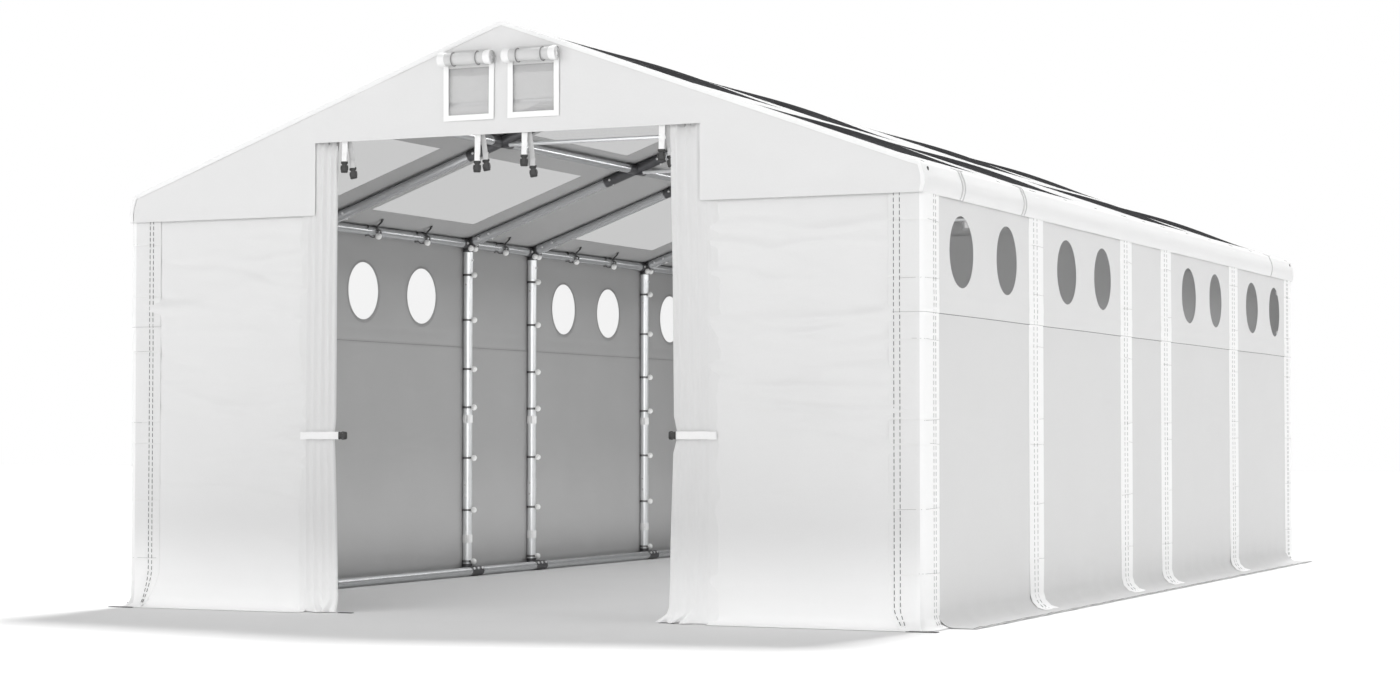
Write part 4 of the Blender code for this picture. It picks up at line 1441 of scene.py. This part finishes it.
class TENT_OT_gables(bpy.types.Operator):
    """Gables with the door's cut-out and openings for the vents"""
    bl_idname = "tent.gables"
    bl_label = "Gables"

    def execute(self, context):
        edges = [VENT_X - VENT_HALF, VENT_X + VENT_HALF, DOOR_HALF, HALF_WIDTH]
        us = spaced([-edge for edge in reversed(edges)] + edges, 0.035)
        vs = spaced([DROP_Z, DOOR_TOP_Z, *VENT_Z, RIDGE_Z], 0.022)
        low = 0.005
        trims = [((0.0, 0.0, RIDGE_Z - low), (side * SIN_PITCH, 0.0, COS_PITCH)) for _, side in SIDES]
        for number, (end_name, end) in enumerate(ENDS):
            surface = gable_surface(end, 31 + number)

            def skip(x, z):
                door = (np.abs(x) < DOOR_HALF) & (z < DOOR_TOP_Z)
                vent = (np.abs(np.abs(x) - VENT_X) < VENT_HALF) & inside(z, [VENT_Z])
                return door | vent | (z > RIDGE_Z + 0.03 - SLOPE * np.abs(x))

            gable = build_sheet(f"gable_{end_name}_cloth", us, vs, surface, (0, end, 0),
                outer_cloth("panel", end > 0), context.scene.tent_cloth.thickness, skip, trim=trims)
            settle(gable, [f"gable_{end_name}"])
        return {"FINISHED"}


class TENT_OT_vents(bpy.types.Operator):
    """Mesh screens, white borders and rolled flaps of the gable vents"""
    bl_idname = "tent.vents"
    bl_label = "Vents"

    def execute(self, context):
        for end_name, end in ENDS:
            screens = Kit()
            y = end * (HALF_LENGTH + 0.001)
            for _, side in SIDES:
                x = side * VENT_X
                reach = VENT_HALF + 0.02
                # The second, shorter layer behind the top of each screen is painted shadow of the rolled
                # flap
                for near, far, low in ((-0.0006, 0.0006, VENT_Z[0] - 0.02),
                        (-0.0024, -0.0012, VENT_Z[1] - 0.045)):
                    screens.box((x - reach, y + near, low), (x + reach, y + far, VENT_Z[1] + 0.02),
                        mesh_finish(), 0.0002)
            screens.piece(f"vent_screens_{end_name}_mesh", "vent_mesh", [f"vent_screens_{end_name}"])
            for side_name, side in SIDES:
                self.border(end_name, end, side_name, side)
                self.roll(end_name, end, side_name, side)
        return {"FINISHED"}

    def border(self, end_name, end, side_name, side):
        """White strips along the sides and the foot of one vent."""
        wide = 0.032
        x = side * VENT_X
        reach = VENT_HALF + wide / 2 - 0.003
        foot_z = VENT_Z[0] - wide / 2 + 0.003
        y = end * (HALF_LENGTH + 0.0175)
        kit = Kit()
        path = [(x - reach, y, VENT_Z[1] + 0.03), (x - reach, y, foot_z), (x + reach, y, foot_z),
            (x + reach, y, VENT_Z[1] + 0.03)]
        for k, (start, stop) in enumerate(zip(path[:-1], path[1:])):
            lengthen = wide / 2 if k == 1 else 0.0
            start = Vector(start) - Vector((lengthen, 0, 0))
            stop = Vector(stop) + Vector((lengthen, 0, 0))
            points = [start.lerp(stop, share / 6) for share in range(7)]
            lifted = [p + Vector((0, end * 0.0012 * (1 + math.sin(9 * p.x + 14 * p.z)) + end * 0.0008
                * (k == 1), 0)) for p in points]
            kit.ribbon(lifted, wide, 0.0022, bright_cloth(), up=(0, 1, 0))
        kit.piece(f"vent_border_{end_name}_{side_name}", "white_fabric")

    def roll(self, end_name, end, side_name, side):
        """Flap rolled up on itself and held by two elastic straps."""
        half, strap_x, turns = 0.168, 0.078, 3.6
        outer, inner = 0.0395, 0.012
        x0 = side * VENT_X
        y0 = end * (HALF_LENGTH + 0.0136 + outer)
        tail = 0.055

        def radius(u, turn):
            size = outer - (outer - inner) * turn / turns
            pinch = hill(np.abs(u) - strap_x, 0.012)
            swell = unit((np.abs(u) - half + 0.05) / 0.05)
            bulb = np.sin(math.pi * unit(0.8 * swell))
            return size * (1.0 - 0.10 * pinch + 0.17 * bulb + 0.02 * np.sin(23 * u + 2.0 * turn))

        def surface(u, v):
            turn = np.clip(v, 0.0, None)
            angle = math.pi - 2 * math.pi * turn
            size = radius(u, turn)
            y = y0 + end * size * np.cos(angle)
            z = ROLL_Z + size * np.sin(angle) + np.clip(-v, 0.0, None) * tail
            return stacked(x0 + u, y, z)

        def away(u, v):
            angle = math.pi - 2 * math.pi * np.clip(v, 0.0, None)
            return stacked(np.zeros_like(u), end * np.cos(angle), np.sin(angle))

        us = spaced([-half, -strap_x - 0.015, -strap_x + 0.015, strap_x - 0.015, strap_x + 0.015, half],
            0.012)
        vs = spaced([-1.0, 0.0, turns], 0.05)
        # The roll's middle takes a grey cloth as painted shade and its flared ends a whiter one as
        # painted light
        roll = build_sheet(f"vent_roll_{end_name}_{side_name}", us, vs, surface, away,
            [cloth_finish("roll_cloth", grey(0.66)), bright_cloth(), outer_cloth("panel")[1]], 0.0018,
            paint=lambda u, v: np.abs(u) > half - 0.046)
        straps = Kit()
        # Light discs in the flared ends, painted light inside the spiral
        for x in (-half + 0.005, half - 0.007):
            straps.turned((x0 + x, y0, ROLL_Z), (1, 0, 0), [(0.0, 0.002), (0.0, 0.038), (0.002, 0.038),
                (0.002, 0.002)], bright_cloth(), 24)
        for x in (-strap_x, strap_x):
            ring = [(x0 + x, y0 + end * 0.0375 * math.cos(a), ROLL_Z + 0.0375 * math.sin(a))
                for a in np.linspace(0.0, 2 * math.pi, 28, endpoint=False)]
            straps.ribbon(ring, 0.008, 0.0018, grey_elastic(), up=(1, 0, 0), closed=True)
        straps = straps.piece(f"vent_straps_{end_name}_{side_name}", "webbing")
        settle(roll, [f"vent_blind_{end_name}_{side_name}"])


class TENT_OT_side_walls(bpy.types.Operator):
    """Side walls with round windows, corner sleeves and cover bands"""
    bl_idname = "tent.side_walls"
    bl_label = "Side walls"

    def execute(self, context):
        patch = 0.235
        us = [-WALL_END_Y]
        for y in round_centres():
            us += [y - patch, y, y + patch]
        us = spaced(us + [WALL_END_Y], 0.055)
        seam = [SEAM_Z - 0.0025, SEAM_Z + 0.0025, SEAM_Z + 0.02]
        vs = wall_rows(SIDE_HEM, [SIDE_BEND, *seam, ROUND_Z - patch, ROUND_Z + patch, WALL_TOP_Z], 0.019)
        discs = [(y, ROUND_Z, patch, ROUND_RADIUS) for y in round_centres()]
        for number, (side_name, side) in enumerate(SIDES):
            surface = side_surface(side, 51 + 10 * number)
            # Above the seam the wall takes the lighter upper copy of its cloth, painted light against the
            # shadow of the roof's drop
            finishes = [outer_cloth("wall")[0], *outer_cloth("upper")]
            wall = build_sheet(f"side_wall_{side_name}_cloth", us, vs, surface, (side, 0, 0), finishes,
                context.scene.tent_cloth.thickness, discs=discs, paint=lambda y, w: w > SEAM_Z)
            settle(wall, [f"side_wall_{side_name}"])
            hem = [on_cloth(surface, spaced([-WALL_END_Y, WALL_END_Y], 0.1), -SIDE_HEM + 0.015,
                (side, 0, 1), 0.001)]
            trim = stitches(f"skirt_stitching_{side_name}", hem, "dark")
            self.window_foils(side_name, side)
            self.sleeves(side_name, side)
            self.bands(side_name, side)
            self.edge_lines(side_name, side, surface)
        return {"FINISHED"}

    def edge_lines(self, side_name, side, surface):
        """Dark cords along the seam and grey cords across bands and sleeves, painted shadow of the seam's
        overlap and painted shade of the sharp folds that packing left.
        """
        kit = Kit()
        seam = SEAM_Z - 0.001
        ys = spaced([-FOLD_END_Y, FOLD_END_Y], 0.05)
        # The dark cord along the seam is painted shadow of the upper cloth's overlap
        kit.cord(on_cloth(surface, ys, seam, (side, 0, 0), 0.0008), 0.0024, thread_finish("dark"))
        covers = [(band_surface(side, y, number), (side, 0, 0.2), BAND_WIDTH / 2, -BAND_WIDTH / 2, number)
            for number, y in enumerate(BAND_Y, 1)]
        covers += [(sleeve_surface(side, end), (side, end, 0.2), 0.0, SLEEVE_LENGTH, side * 3 + end)
            for _, end in ENDS]
        for cover, out, start, stop, shift in covers:
            across = spaced(sorted([start, stop]), 0.015)
            # Grey cords across the covers at the seam and along the creases are painted shade
            kit.cord(on_cloth(cover, across, seam, out, 0.0006), 0.0020, fold_shade_finish())
            for number, level in enumerate(crease_levels(shift)):
                reach = (0.85, 0.45, 0.62, 0.95, 0.38, 0.55, 0.70)[(number + int(shift)) % 7]
                across = np.linspace(start, start + (stop - start) * reach, 14)
                rise = level + 0.006 * np.linspace(0.0, 1.0, 14) * math.sin(3.0 * number + shift)
                kit.cord(on_cloth(cover, across, rise, out, -0.0004), 0.0014, fold_shade_finish())
        kit.piece(f"edge_lines_{side_name}", "white_fabric")

    def window_foils(self, side_name, side):
        """Clear foil welded behind the round windows."""
        kit = Kit()
        foil = foil_finish("window")
        for y in round_centres():
            profile = [(0.0, 0.001), (0.0, 0.10), (0.0, ROUND_RADIUS + 0.02),
                (0.001, ROUND_RADIUS + 0.02), (0.001, 0.10), (0.001, 0.001)]
            kit.turned((side * (HALF_WIDTH - 0.0042), y, ROUND_Z), (side, 0, 0), profile, foil, 48)
        kit.piece(f"round_windows_{side_name}", "window_foil", [f"wall_windows_{side_name}"])

    def sleeves(self, side_name, side):
        """Sleeves that close the corners, sewn with double rows of thread."""
        us = spaced([0.0, 0.03, SLEEVE_STRAIGHT, SLEEVE_STRAIGHT + SLEEVE_ARC, SLEEVE_LENGTH - 0.03,
            SLEEVE_LENGTH], 0.012)
        turned = SLEEVE_STRAIGHT + 0.7 * SLEEVE_ARC
        for end_name, end in ENDS:
            shift = side * 3 + end
            vs = band_rows(shift)
            surface = sleeve_surface(side, end)
            out = (side, end, 0.3)
            finishes = [outer_cloth("band")[0], *outer_cloth("panel")]
            sleeve = build_sheet(f"corner_sleeve_{end_name}_{side_name}", us, vs, surface, out, finishes,
                bpy.context.scene.tent_cloth.thickness, paint=lambda u, w: u > turned)
            settle(sleeve)
            insets = (0.052, 0.076) if side < 0 else (0.030, 0.064)
            front = upright_lines(surface, [SLEEVE_LENGTH - inset for inset in insets], out)
            flank = upright_lines(surface, (0.070, 0.105), out)
            trims = [stitches(f"sleeve_end_stitching_{end_name}_{side_name}", front, "dark"),
                stitches(f"sleeve_side_stitching_{end_name}_{side_name}", flank, "light")]

    def bands(self, side_name, side):
        """White bands over the joints between the bays."""
        half = BAND_WIDTH / 2
        us = spaced([-half, half], 0.028)
        for number, y in enumerate(BAND_Y, 1):
            vs = band_rows(number)
            surface = band_surface(side, y, number)
            band = build_sheet(f"cover_band_{side_name}_{number}", us, vs, surface, (side, 0, 0.2),
                outer_cloth("band"), bpy.context.scene.tent_cloth.thickness)
            settle(band)
            lines = upright_lines(surface, [-half + inset for inset in (0.072, 0.130)], (side, 0, 0.2))
            trim = stitches(f"band_stitching_{side_name}_{number}", lines, "light")


def upright_lines(surface, places, out):
    """Upright lines on a wall cloth, one at each place across it."""
    rows = spaced([0.012, WALL_TOP_Z - 0.13], 0.03)
    return [on_cloth(surface, np.full(len(rows), place), rows, out, 0.001) for place in places]


def wall_rows(hem, stops, step):
    """Heights of a wall's rows from the edge of its hem, which lies on the floor."""
    return np.concatenate([spaced([-hem, -0.01], 0.02)[:-1], spaced([-0.01, *stops], step)])


def band_rows(shift):
    """Heights of a band's rows: the foot's bend, the creases and the seam."""
    rows = spaced([0.0, SIDE_BEND, SEAM_Z - 0.0015, SEAM_Z + 0.0015, SEAM_Z + 0.02, WALL_TOP_Z], 0.03)
    rows = np.unique(np.concatenate([rows, crease_stops(shift)]))
    keep = np.concatenate([[True], np.diff(rows) > 0.0012])
    return rows[keep]


class TENT_OT_end_walls(bpy.types.Operator):
    """End wall cloths beside the doors, and the closed back door"""
    bl_idname = "tent.end_walls"
    bl_label = "End walls"

    def execute(self, context):
        thickness = context.scene.tent_cloth.thickness
        outer = SLEEVE_FRONT_X + 0.135
        vs = wall_rows(END_HEM, [END_BEND, END_WALL_TOP_Z], 0.013)
        number = 70
        for end_name, end in ENDS:
            for side_name, side in SIDES:
                number += 5
                us = np.sort(side * spaced([PANEL_EDGE_X, outer], 0.035))
                wall = build_sheet(f"{end_name}_wall_{side_name}_cloth", us, vs, end_surface(end, number),
                    (0, end, 0), outer_cloth("panel", end > 0), thickness)
                settle(wall, [f"{end_name}_wall_{side_name}"])
        self.back_door(thickness)
        return {"FINISHED"}

    def back_door(self, thickness):
        """Closed door of two leaves, zipped in the middle and at both sides."""
        width = PANEL_EDGE_X + 0.03
        us = spaced([-width, 0.0, width], 0.045)
        vs = wall_rows(END_HEM, [END_BEND, DOOR_CLOTH_Z], 0.018)
        surface = end_surface(1, 97, 0.0045)
        door = build_sheet("back_door_cloth", us, vs, surface, (0, 1, 0), outer_cloth("panel", True),
            thickness)
        settle(door, ["back_door"])
        rows = []
        pitch = 0.012
        for x in (-PANEL_EDGE_X + 0.03, 0.0, PANEL_EDGE_X - 0.03):
            levels = np.arange(0.05, 2.70, pitch)
            places = on_cloth(surface, np.full(len(levels), x), levels, (0, 1, 0), 0.0016)
            rows += [(place, (0, 0, 1), (0, 1, 0)) for place in places]
        sizes = {"Deep": 0.003, "Wide": 0.009, "Tall": 0.006}
        zips = scatter("back_door_zips", rows, scatter_tree("zip_teeth", block_shape, sizes),
            {**sizes, "Finish": plain_finish("zip_plastic", grey(0.55), 0.5, 300.0, 0.05)})


class TENT_OT_curtains(bpy.types.Operator):
    """Gathered door curtains and the straps that hold them"""
    bl_idname = "tent.curtains"
    bl_label = "Door curtains"

    def execute(self, context):
        us = np.concatenate([np.linspace(0.0, 1.0, 72), np.linspace(1.0, 2.0, 150)[1:]])
        vs = np.concatenate([spaced([0.0, 0.10], 0.01)[:-1], spaced([0.10, 0.92, 1.02, 1.12,
            DOOR_CLOTH_Z], 0.05)])

        def away(u, v):
            facing = np.where(u < 1.0, -1.0, 1.0)
            return stacked(np.zeros_like(u), facing, np.zeros_like(u))

        for side_name, side in SIDES:
            curtain = build_sheet(f"door_curtain_{side_name}_cloth", us, vs, curtain_surface(side), away,
                outer_cloth("panel"), 0.0012)
            settle(curtain, [f"door_curtain_{side_name}"])
            strap = self.tie_back(side_name, side)
            # Black plate at the curtain's foot, and a black strip under the corner sleeve as painted
            # shadow on the floor
            plates = Kit()
            for x, half, front, back, top in FOOT_PLATE_AND_SHADE:
                plates.box((side * x - half, -HALF_LENGTH - front, 0.0005),
                    (side * x + half, -HALF_LENGTH - back, top), black_plastic(), 0.0015)
            plates.piece(f"foot_plates_{side_name}")
        return {"FINISHED"}

    def tie_back(self, side_name, side):
        low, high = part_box(f"tie_back_{side_name}")
        z = (low.z + high.z) / 2
        outer = max(abs(low.x), abs(high.x))
        buckle_in, buckle_out = (1.004, 1.058) if side < 0 else (1.042, 1.084)
        front = -HALF_LENGTH - 0.0175
        kit = Kit()
        path = [(side * outer, front + 0.011, z), (side * (outer - 0.02), front + 0.003, z - 0.001),
            (side * 1.25, front - 0.001, z + 0.001), (side * 1.18, front - 0.003, z),
            (side * 1.12, front - 0.001, z + 0.001), (side * (buckle_out - 0.008), front + 0.004, z)]
        kit.ribbon(smooth_path(path, 24), 0.043, 0.0026, webbing(), up=(0, 1, 0))
        back = [(side * 1.295, -HALF_LENGTH + 0.062, z), (side * 1.20, -HALF_LENGTH + 0.064, z - 0.003),
            (side * 1.10, -HALF_LENGTH + 0.055, z), (side * 1.075, -HALF_LENGTH + 0.03, z),
            (side * (buckle_out - 0.006), front + 0.008, z)]
        kit.ribbon(smooth_path(back, 20), 0.040, 0.0022, webbing(), up=(0.3, 1, 0))
        buckle(kit, (side * (buckle_in + buckle_out) / 2, front + 0.004, z), (-side, 0, 0), (0, 1, 0),
            buckle_out - buckle_in, 0.044)
        return kit.piece(f"tie_back_{side_name}_strap", "webbing", [f"tie_back_{side_name}"])


def smooth_path(points, count):
    """Points at even steps along a smooth curve through the given points."""
    points = np.array(points, float)
    stops = np.concatenate([[0.0], np.cumsum(np.linalg.norm(np.diff(points, axis=0), axis=1))])
    tangents = np.gradient(points, stops, axis=0)
    result = []
    for value in np.linspace(0.0, stops[-1], count):
        k = min(int(np.searchsorted(stops, value, side="right")) - 1, len(stops) - 2)
        span = stops[k + 1] - stops[k]
        t = (value - stops[k]) / span
        h = (2 * t ** 3 - 3 * t ** 2 + 1, t ** 3 - 2 * t ** 2 + t, -2 * t ** 3 + 3 * t ** 2,
            t ** 3 - t ** 2)
        result.append(h[0] * points[k] + h[1] * span * tangents[k] + h[2] * points[k + 1] + h[3] * span
            * tangents[k + 1])
    return result


def buckle(kit, centre, along, facing, length, width):
    """Side-release buckle: a body with a waist, two side prongs and a bar."""
    centre, along, facing = Vector(centre), Vector(along).normalized(), Vector(facing).normalized()
    across = along.cross(facing)
    black = black_plastic()
    outline = [(-0.50, 0.44), (-0.46, 0.50), (-0.32, 0.50), (-0.22, 0.33), (0.08, 0.33), (0.22, 0.50),
        (0.43, 0.50), (0.50, 0.40)]
    thick = 0.0055
    rings = []
    for share, half in outline:
        middle = centre + along * (share * length)
        side = across * (half * width)
        deep = facing * thick
        soft = facing * (thick * 0.55)
        rings.append([middle - side - soft, middle - side * 0.86 - deep, middle + side * 0.86 - deep,
            middle + side - soft, middle + side + soft, middle + side * 0.86 + deep,
            middle - side * 0.86 + deep, middle - side + soft])
    kit.loft(rings, black)
    for sign in (-1, 1):
        start = centre - along * (0.15 * length) + across * (sign * 0.40 * width)
        stop = centre + along * (0.26 * length) + across * (sign * 0.44 * width)
        kit.ribbon([start, start.lerp(stop, 0.5) + across * (sign * 0.002), stop], 0.007, 0.010, black,
            up=facing)
    for share in (-0.30, 0.34):
        bar = centre + along * (share * length) - facing * (thick + 0.001)
        kit.cord([bar - across * (0.34 * width), bar + across * (0.34 * width)], 0.0022, black, up=facing)


class TENT_OT_door_straps(bpy.types.Operator):
    """Straps with buckles that hold the door when it is rolled up"""
    bl_idname = "tent.door_straps"
    bl_label = "Door straps"

    def execute(self, context):
        sizes = context.scene.tent_fittings
        for side_name, side in SIDES:
            for number, (reach, first, second) in enumerate(STRAPS[side], 1):
                x = side * reach
                kit = Kit()
                front = -HALF_LENGTH - 0.006
                top = DOOR_TOP_Z + 0.03
                low = DOOR_TOP_Z - first
                self.strap(kit, [(x, front + 0.003, top), (x + 0.001, front - 0.001, (top + low) / 2),
                    (x - 0.002, front + 0.001, low)], sizes.strap_width, webbing())
                low = DOOR_TOP_Z - second
                self.strap(kit, [(x + 0.018, front + 0.012, top), (x + 0.032, front + 0.020,
                    (top + low) / 2), (x + 0.046, front + 0.016, low)], sizes.strap_width * 0.9,
                    cloth_finish("strap_back", grey(0.55), 0.05))
                kit.piece(f"door_straps_{side_name}_{number}", "webbing")
        return {"FINISHED"}

    def strap(self, kit, path, width, finish):
        """Hanging strap that ends in half a buckle, with its loose tail folded up."""
        kit.ribbon(smooth_path(path, 14), width, 0.0024, finish, up=(0, 1, 0))
        end = Vector(path[-1])
        along = (end - Vector(path[-2])).normalized()
        buckle(kit, end + along * 0.026, along, (0, 1, 0), 0.066, 0.044)
        tail = [end + Vector((0.002, -0.004, 0.005)), end + Vector((0.004, -0.010, 0.030)),
            end + Vector((0.006, -0.008, 0.048))]
        kit.ribbon(tail, width * 0.9, 0.0020, finish, up=(0, 1, 0))


class TENT_OT_ball_ties(bpy.types.Operator):
    """Rubber loops with balls that tie the cloth to the tubes"""
    bl_idname = "tent.ball_ties"
    bl_label = "Ball ties"

    def execute(self, context):
        sizes = context.scene.tent_fittings
        post_rows, eave_rows = [], []
        eave_z = axis_z(POST_X)
        for _, side in SIDES:
            for y in FRAME_Y:
                post_rows += [((side * POST_X, y, z), (0, 0, 1), (-side, 0, 0)) for z in POST_TIE_Z]
            eave_rows += [((side * POST_X, y, eave_z), (0, 1, 0), (-side * 0.78, 0, -0.62))
                for y in self.node_places() + self.bay_places()]
        ball_sizes = {"Radius": sizes.ball_radius, "Reach": 0.040}
        balls = scatter_tree("balls", ball_shape, ball_sizes)
        rings = scatter_tree("rubber_rings", ring_shape, {"Radius": 0.029, "Cord": sizes.cord_radius,
            "Gap": 0.004})
        for name, rows, radius in (("post", post_rows, SPLICE + 0.002),
                ("eave", eave_rows, SLEEVE + 0.0035)):
            reach = radius + 0.7 * sizes.ball_radius
            scatter(f"{name}_tie_balls", rows, balls, {"Radius": sizes.ball_radius, "Reach": reach,
                "Finish": white_plastic()})
            scatter(f"{name}_tie_rubber", rows, rings, {"Radius": radius, "Cord": sizes.cord_radius,
                "Gap": 0.004, "Finish": black_rubber()})
        self.eave_loops(eave_z)
        return {"FINISHED"}

    def node_places(self):
        """Places of the two ties beside each frame."""
        places = [y + shift for y in FRAME_Y for shift in NODE_SHIFTS]
        return [y for y in places if abs(y) < abs(FRAME_Y[0])]

    def bay_places(self):
        """Places of the ties along the eave within each bay."""
        places = []
        for a, b in BAYS:
            parts = 3 if b - a > LONG_BAY else 2
            places += [a + (b - a) * k / parts for k in range(1, parts)]
        return places

    def eave_loops(self, eave_z):
        """Black rubber that runs from each ball over the tube to an eyelet in the roof."""
        cord = bpy.context.scene.tent_fittings.cord_radius
        kit = Kit()
        for _, side in SIDES:
            x0 = POST_X
            for y in self.bay_places():
                roof_x = x0 - 0.105
                roof_z = RIDGE_Z - SLOPE * roof_x - 0.016
                slope_up = Vector((side * SIN_PITCH, 0, COS_PITCH))
                kit.turned(Vector((side * roof_x, y - 0.055, roof_z + 0.008)) - slope_up * 0.004,
                    slope_up, [(0.0, 0.010), (0.003, 0.012), (0.006, 0.010)], black_plastic(), 14)
                for shift in (-0.005, 0.005):
                    path = [(side * (x0 - 0.036), y + shift, eave_z - 0.034),
                        (side * (x0 - 0.050), y + 0.020 + shift, eave_z - 0.006),
                        (side * (x0 - 0.060), y - 0.050 + shift, eave_z + 0.022),
                        (side * roof_x, y - 0.055 + shift, roof_z)]
                    kit.cord(smooth_path(path, 12), 1.35 * cord, black_rubber(), up=(0, 1, 0.3))
                for turns in (((0.4, -0.125), (0.9, -0.105), (1.5, -0.085)),
                        ((-0.9, -0.085), (-1.2, -0.12), (-1.6, -0.10))):
                    path = [(side * (x0 - 0.0385 * math.cos(turn)), y + along,
                        eave_z + 0.0385 * math.sin(turn)) for turn, along in turns]
                    kit.cord(smooth_path(path, 7), 1.2 * cord, black_rubber(), up=(0, 1, 0.3))
        kit.piece("eave_rubber_loops")


class TENT_OT_studio(bpy.types.Operator):
    """Floor, lights and the photograph's camera"""
    bl_idname = "tent.studio"
    bl_label = "Studio"

    def execute(self, context):
        studio = context.scene.tent_studio
        half = 60.0
        bm = bmesh.new()
        bmesh.ops.create_grid(bm, x_segments=8, y_segments=8, size=half)
        mesh = bpy.data.meshes.new("studio_floor")
        bm.to_mesh(mesh)
        bm.free()
        paint = plain_finish("floor_paint", studio.floor_colour, 0.8, 1.5, 0.01)
        paint.node_tree.nodes["Principled BSDF"].inputs["Specular IOR Level"].default_value = 0.0
        floor = link_mesh("studio_floor", mesh, [paint])
        context.scene.world = self.sky(studio)
        for name, source in (("key", KEY_DIRECTION), ("fill", FILL_DIRECTION), ("side", SIDE_DIRECTION)):
            strength, spread = (getattr(studio, f"{name}_{kind}") for kind in ("strength", "spread"))
            self.lamp(f"{name}_light", "SUN", source, strength).data.angle = spread
        for name, place, source, size, power, hidden in self.panels(studio):
            lamp = self.lamp(name, "AREA", source, power)
            lamp.data.shape = "RECTANGLE"
            lamp.data.size, lamp.data.size_y = size
            lamp.location = place
            lamp.visible_camera = False
            if hidden:
                setattr(lamp, hidden, False)
        context.scene.view_settings.view_transform = "Standard"
        camera_data = bpy.data.cameras.new("photo_camera")
        camera_data.lens = CAMERA_LENS
        camera_data.sensor_width = SENSOR_WIDTH
        camera = bpy.data.objects.new("photo_camera", camera_data)
        camera.location = CAMERA_PLACE
        camera.rotation_euler = (math.radians(90.0 + CAMERA_PITCH), 0.0, math.radians(CAMERA_YAW))
        context.scene.collection.objects.link(camera)
        context.scene.camera = camera
        return {"FINISHED"}

    def sky(self, studio):
        """Even surrounding light, behind a backdrop of its own brightness."""
        world = bpy.data.worlds.new("studio_sky")
        world.use_nodes = True
        tree = world.node_tree
        path = add_node(tree, "ShaderNodeLightPath").outputs
        seen = maths(tree, "ADD", path["Is Camera Ray"], path["Is Glossy Ray"])
        strength = result_of(tree, "ShaderNodeMapRange", inputs={0: seen, 3: studio.sky,
            4: studio.backdrop})
        background = tree.nodes["Background"]
        background.inputs["Color"].default_value = (1.0, 1.0, 1.0, 1.0)
        tree.links.new(strength, background.inputs["Strength"])
        return world

    def panels(self, studio):
        """Flat lamps in the tent: name, place, source, size, power and the rays that pass them by."""
        glint = studio.glint_power
        return (("room_light", (0.0, 0.0, POST_TOP_Z), (0.0, 0.0, 1.0), (2 * POST_X - 0.6, 8.7),
            studio.room_power, None), ("floor_light", (0.0, 0.25, 0.14), (0.0, 0.0, -1.0),
            (2 * POST_X - 0.6, 7.5), studio.floor_power, "visible_glossy"),
            ("door_glint", (0.1, -HALF_LENGTH + 0.17, 1.6), (0.0, -1.0, 0.0), (4.4, 3.0), glint,
            "visible_diffuse"), ("wall_light", (POST_X - 0.11, 0.0, 1.2), (1.0, 0.0, 0.0), (8.6, 2.2),
            studio.wall_power, None), ("back_glint", (0.0, HALF_LENGTH - 0.17, 2.72), (0.0, 1.0, 0.0),
            (3.2, 0.5), 0.2 * glint, "visible_diffuse"), ("roof_glint", (0.5, 0.0, 3.0), (0.9, 0.0, 0.3),
            (8.0, 0.25), 0.9 * glint, "visible_diffuse"))

    def lamp(self, name, kind, source, power):
        """Lamp that shines away from the direction source."""
        data = bpy.data.lights.new(name, kind)
        data.energy = power
        lamp = bpy.data.objects.new(name, data)
        lamp.rotation_euler = Vector(source).to_track_quat("Z", "Y").to_euler()
        bpy.context.scene.collection.objects.link(lamp)
        return lamp


GROUPS = (("tent_cloth", TentCloth), ("tent_stitching", TentStitching), ("tent_foil", TentFoil),
    ("tent_steel", TentSteel), ("tent_fittings", TentFittings), ("tent_studio", TentStudio))
STEPS = (TENT_OT_studio, TENT_OT_posts, TENT_OT_roof_frames, TENT_OT_eave_purlins, TENT_OT_base_rail,
    TENT_OT_roof_cover, TENT_OT_gables, TENT_OT_vents, TENT_OT_side_walls, TENT_OT_end_walls,
    TENT_OT_curtains, TENT_OT_door_straps, TENT_OT_ball_ties)


class TENT_PT_panel(bpy.types.Panel):
    """Sidebar with the tent's sizes and building steps"""
    bl_idname = "TENT_PT_panel"
    bl_label = "Marquee Tent"
    bl_space_type = "VIEW_3D"
    bl_region_type = "UI"
    bl_category = "Tent"

    def draw(self, context):
        for attribute, group in GROUPS:
            values = getattr(context.scene, attribute)
            box = self.layout.box()
            for name in group.__annotations__:
                box.prop(values, name)
        for step in STEPS:
            self.layout.operator(step.bl_idname)


def register():
    for attribute, group in GROUPS:
        bpy.utils.register_class(group)
        setattr(bpy.types.Scene, attribute, bpy.props.PointerProperty(type=group))
    for step in STEPS:
        bpy.utils.register_class(step)
    bpy.utils.register_class(TENT_PT_panel)


def unregister():
    bpy.utils.unregister_class(TENT_PT_panel)
    for step in reversed(STEPS):
        bpy.utils.unregister_class(step)
    for attribute, group in reversed(GROUPS):
        delattr(bpy.types.Scene, attribute)
        bpy.utils.unregister_class(group)


def main():
    register()
    for step in STEPS:
        family, name = step.bl_idname.split(".")
        getattr(getattr(bpy.ops, family), name)()


if __name__ == "__main__":
    main()
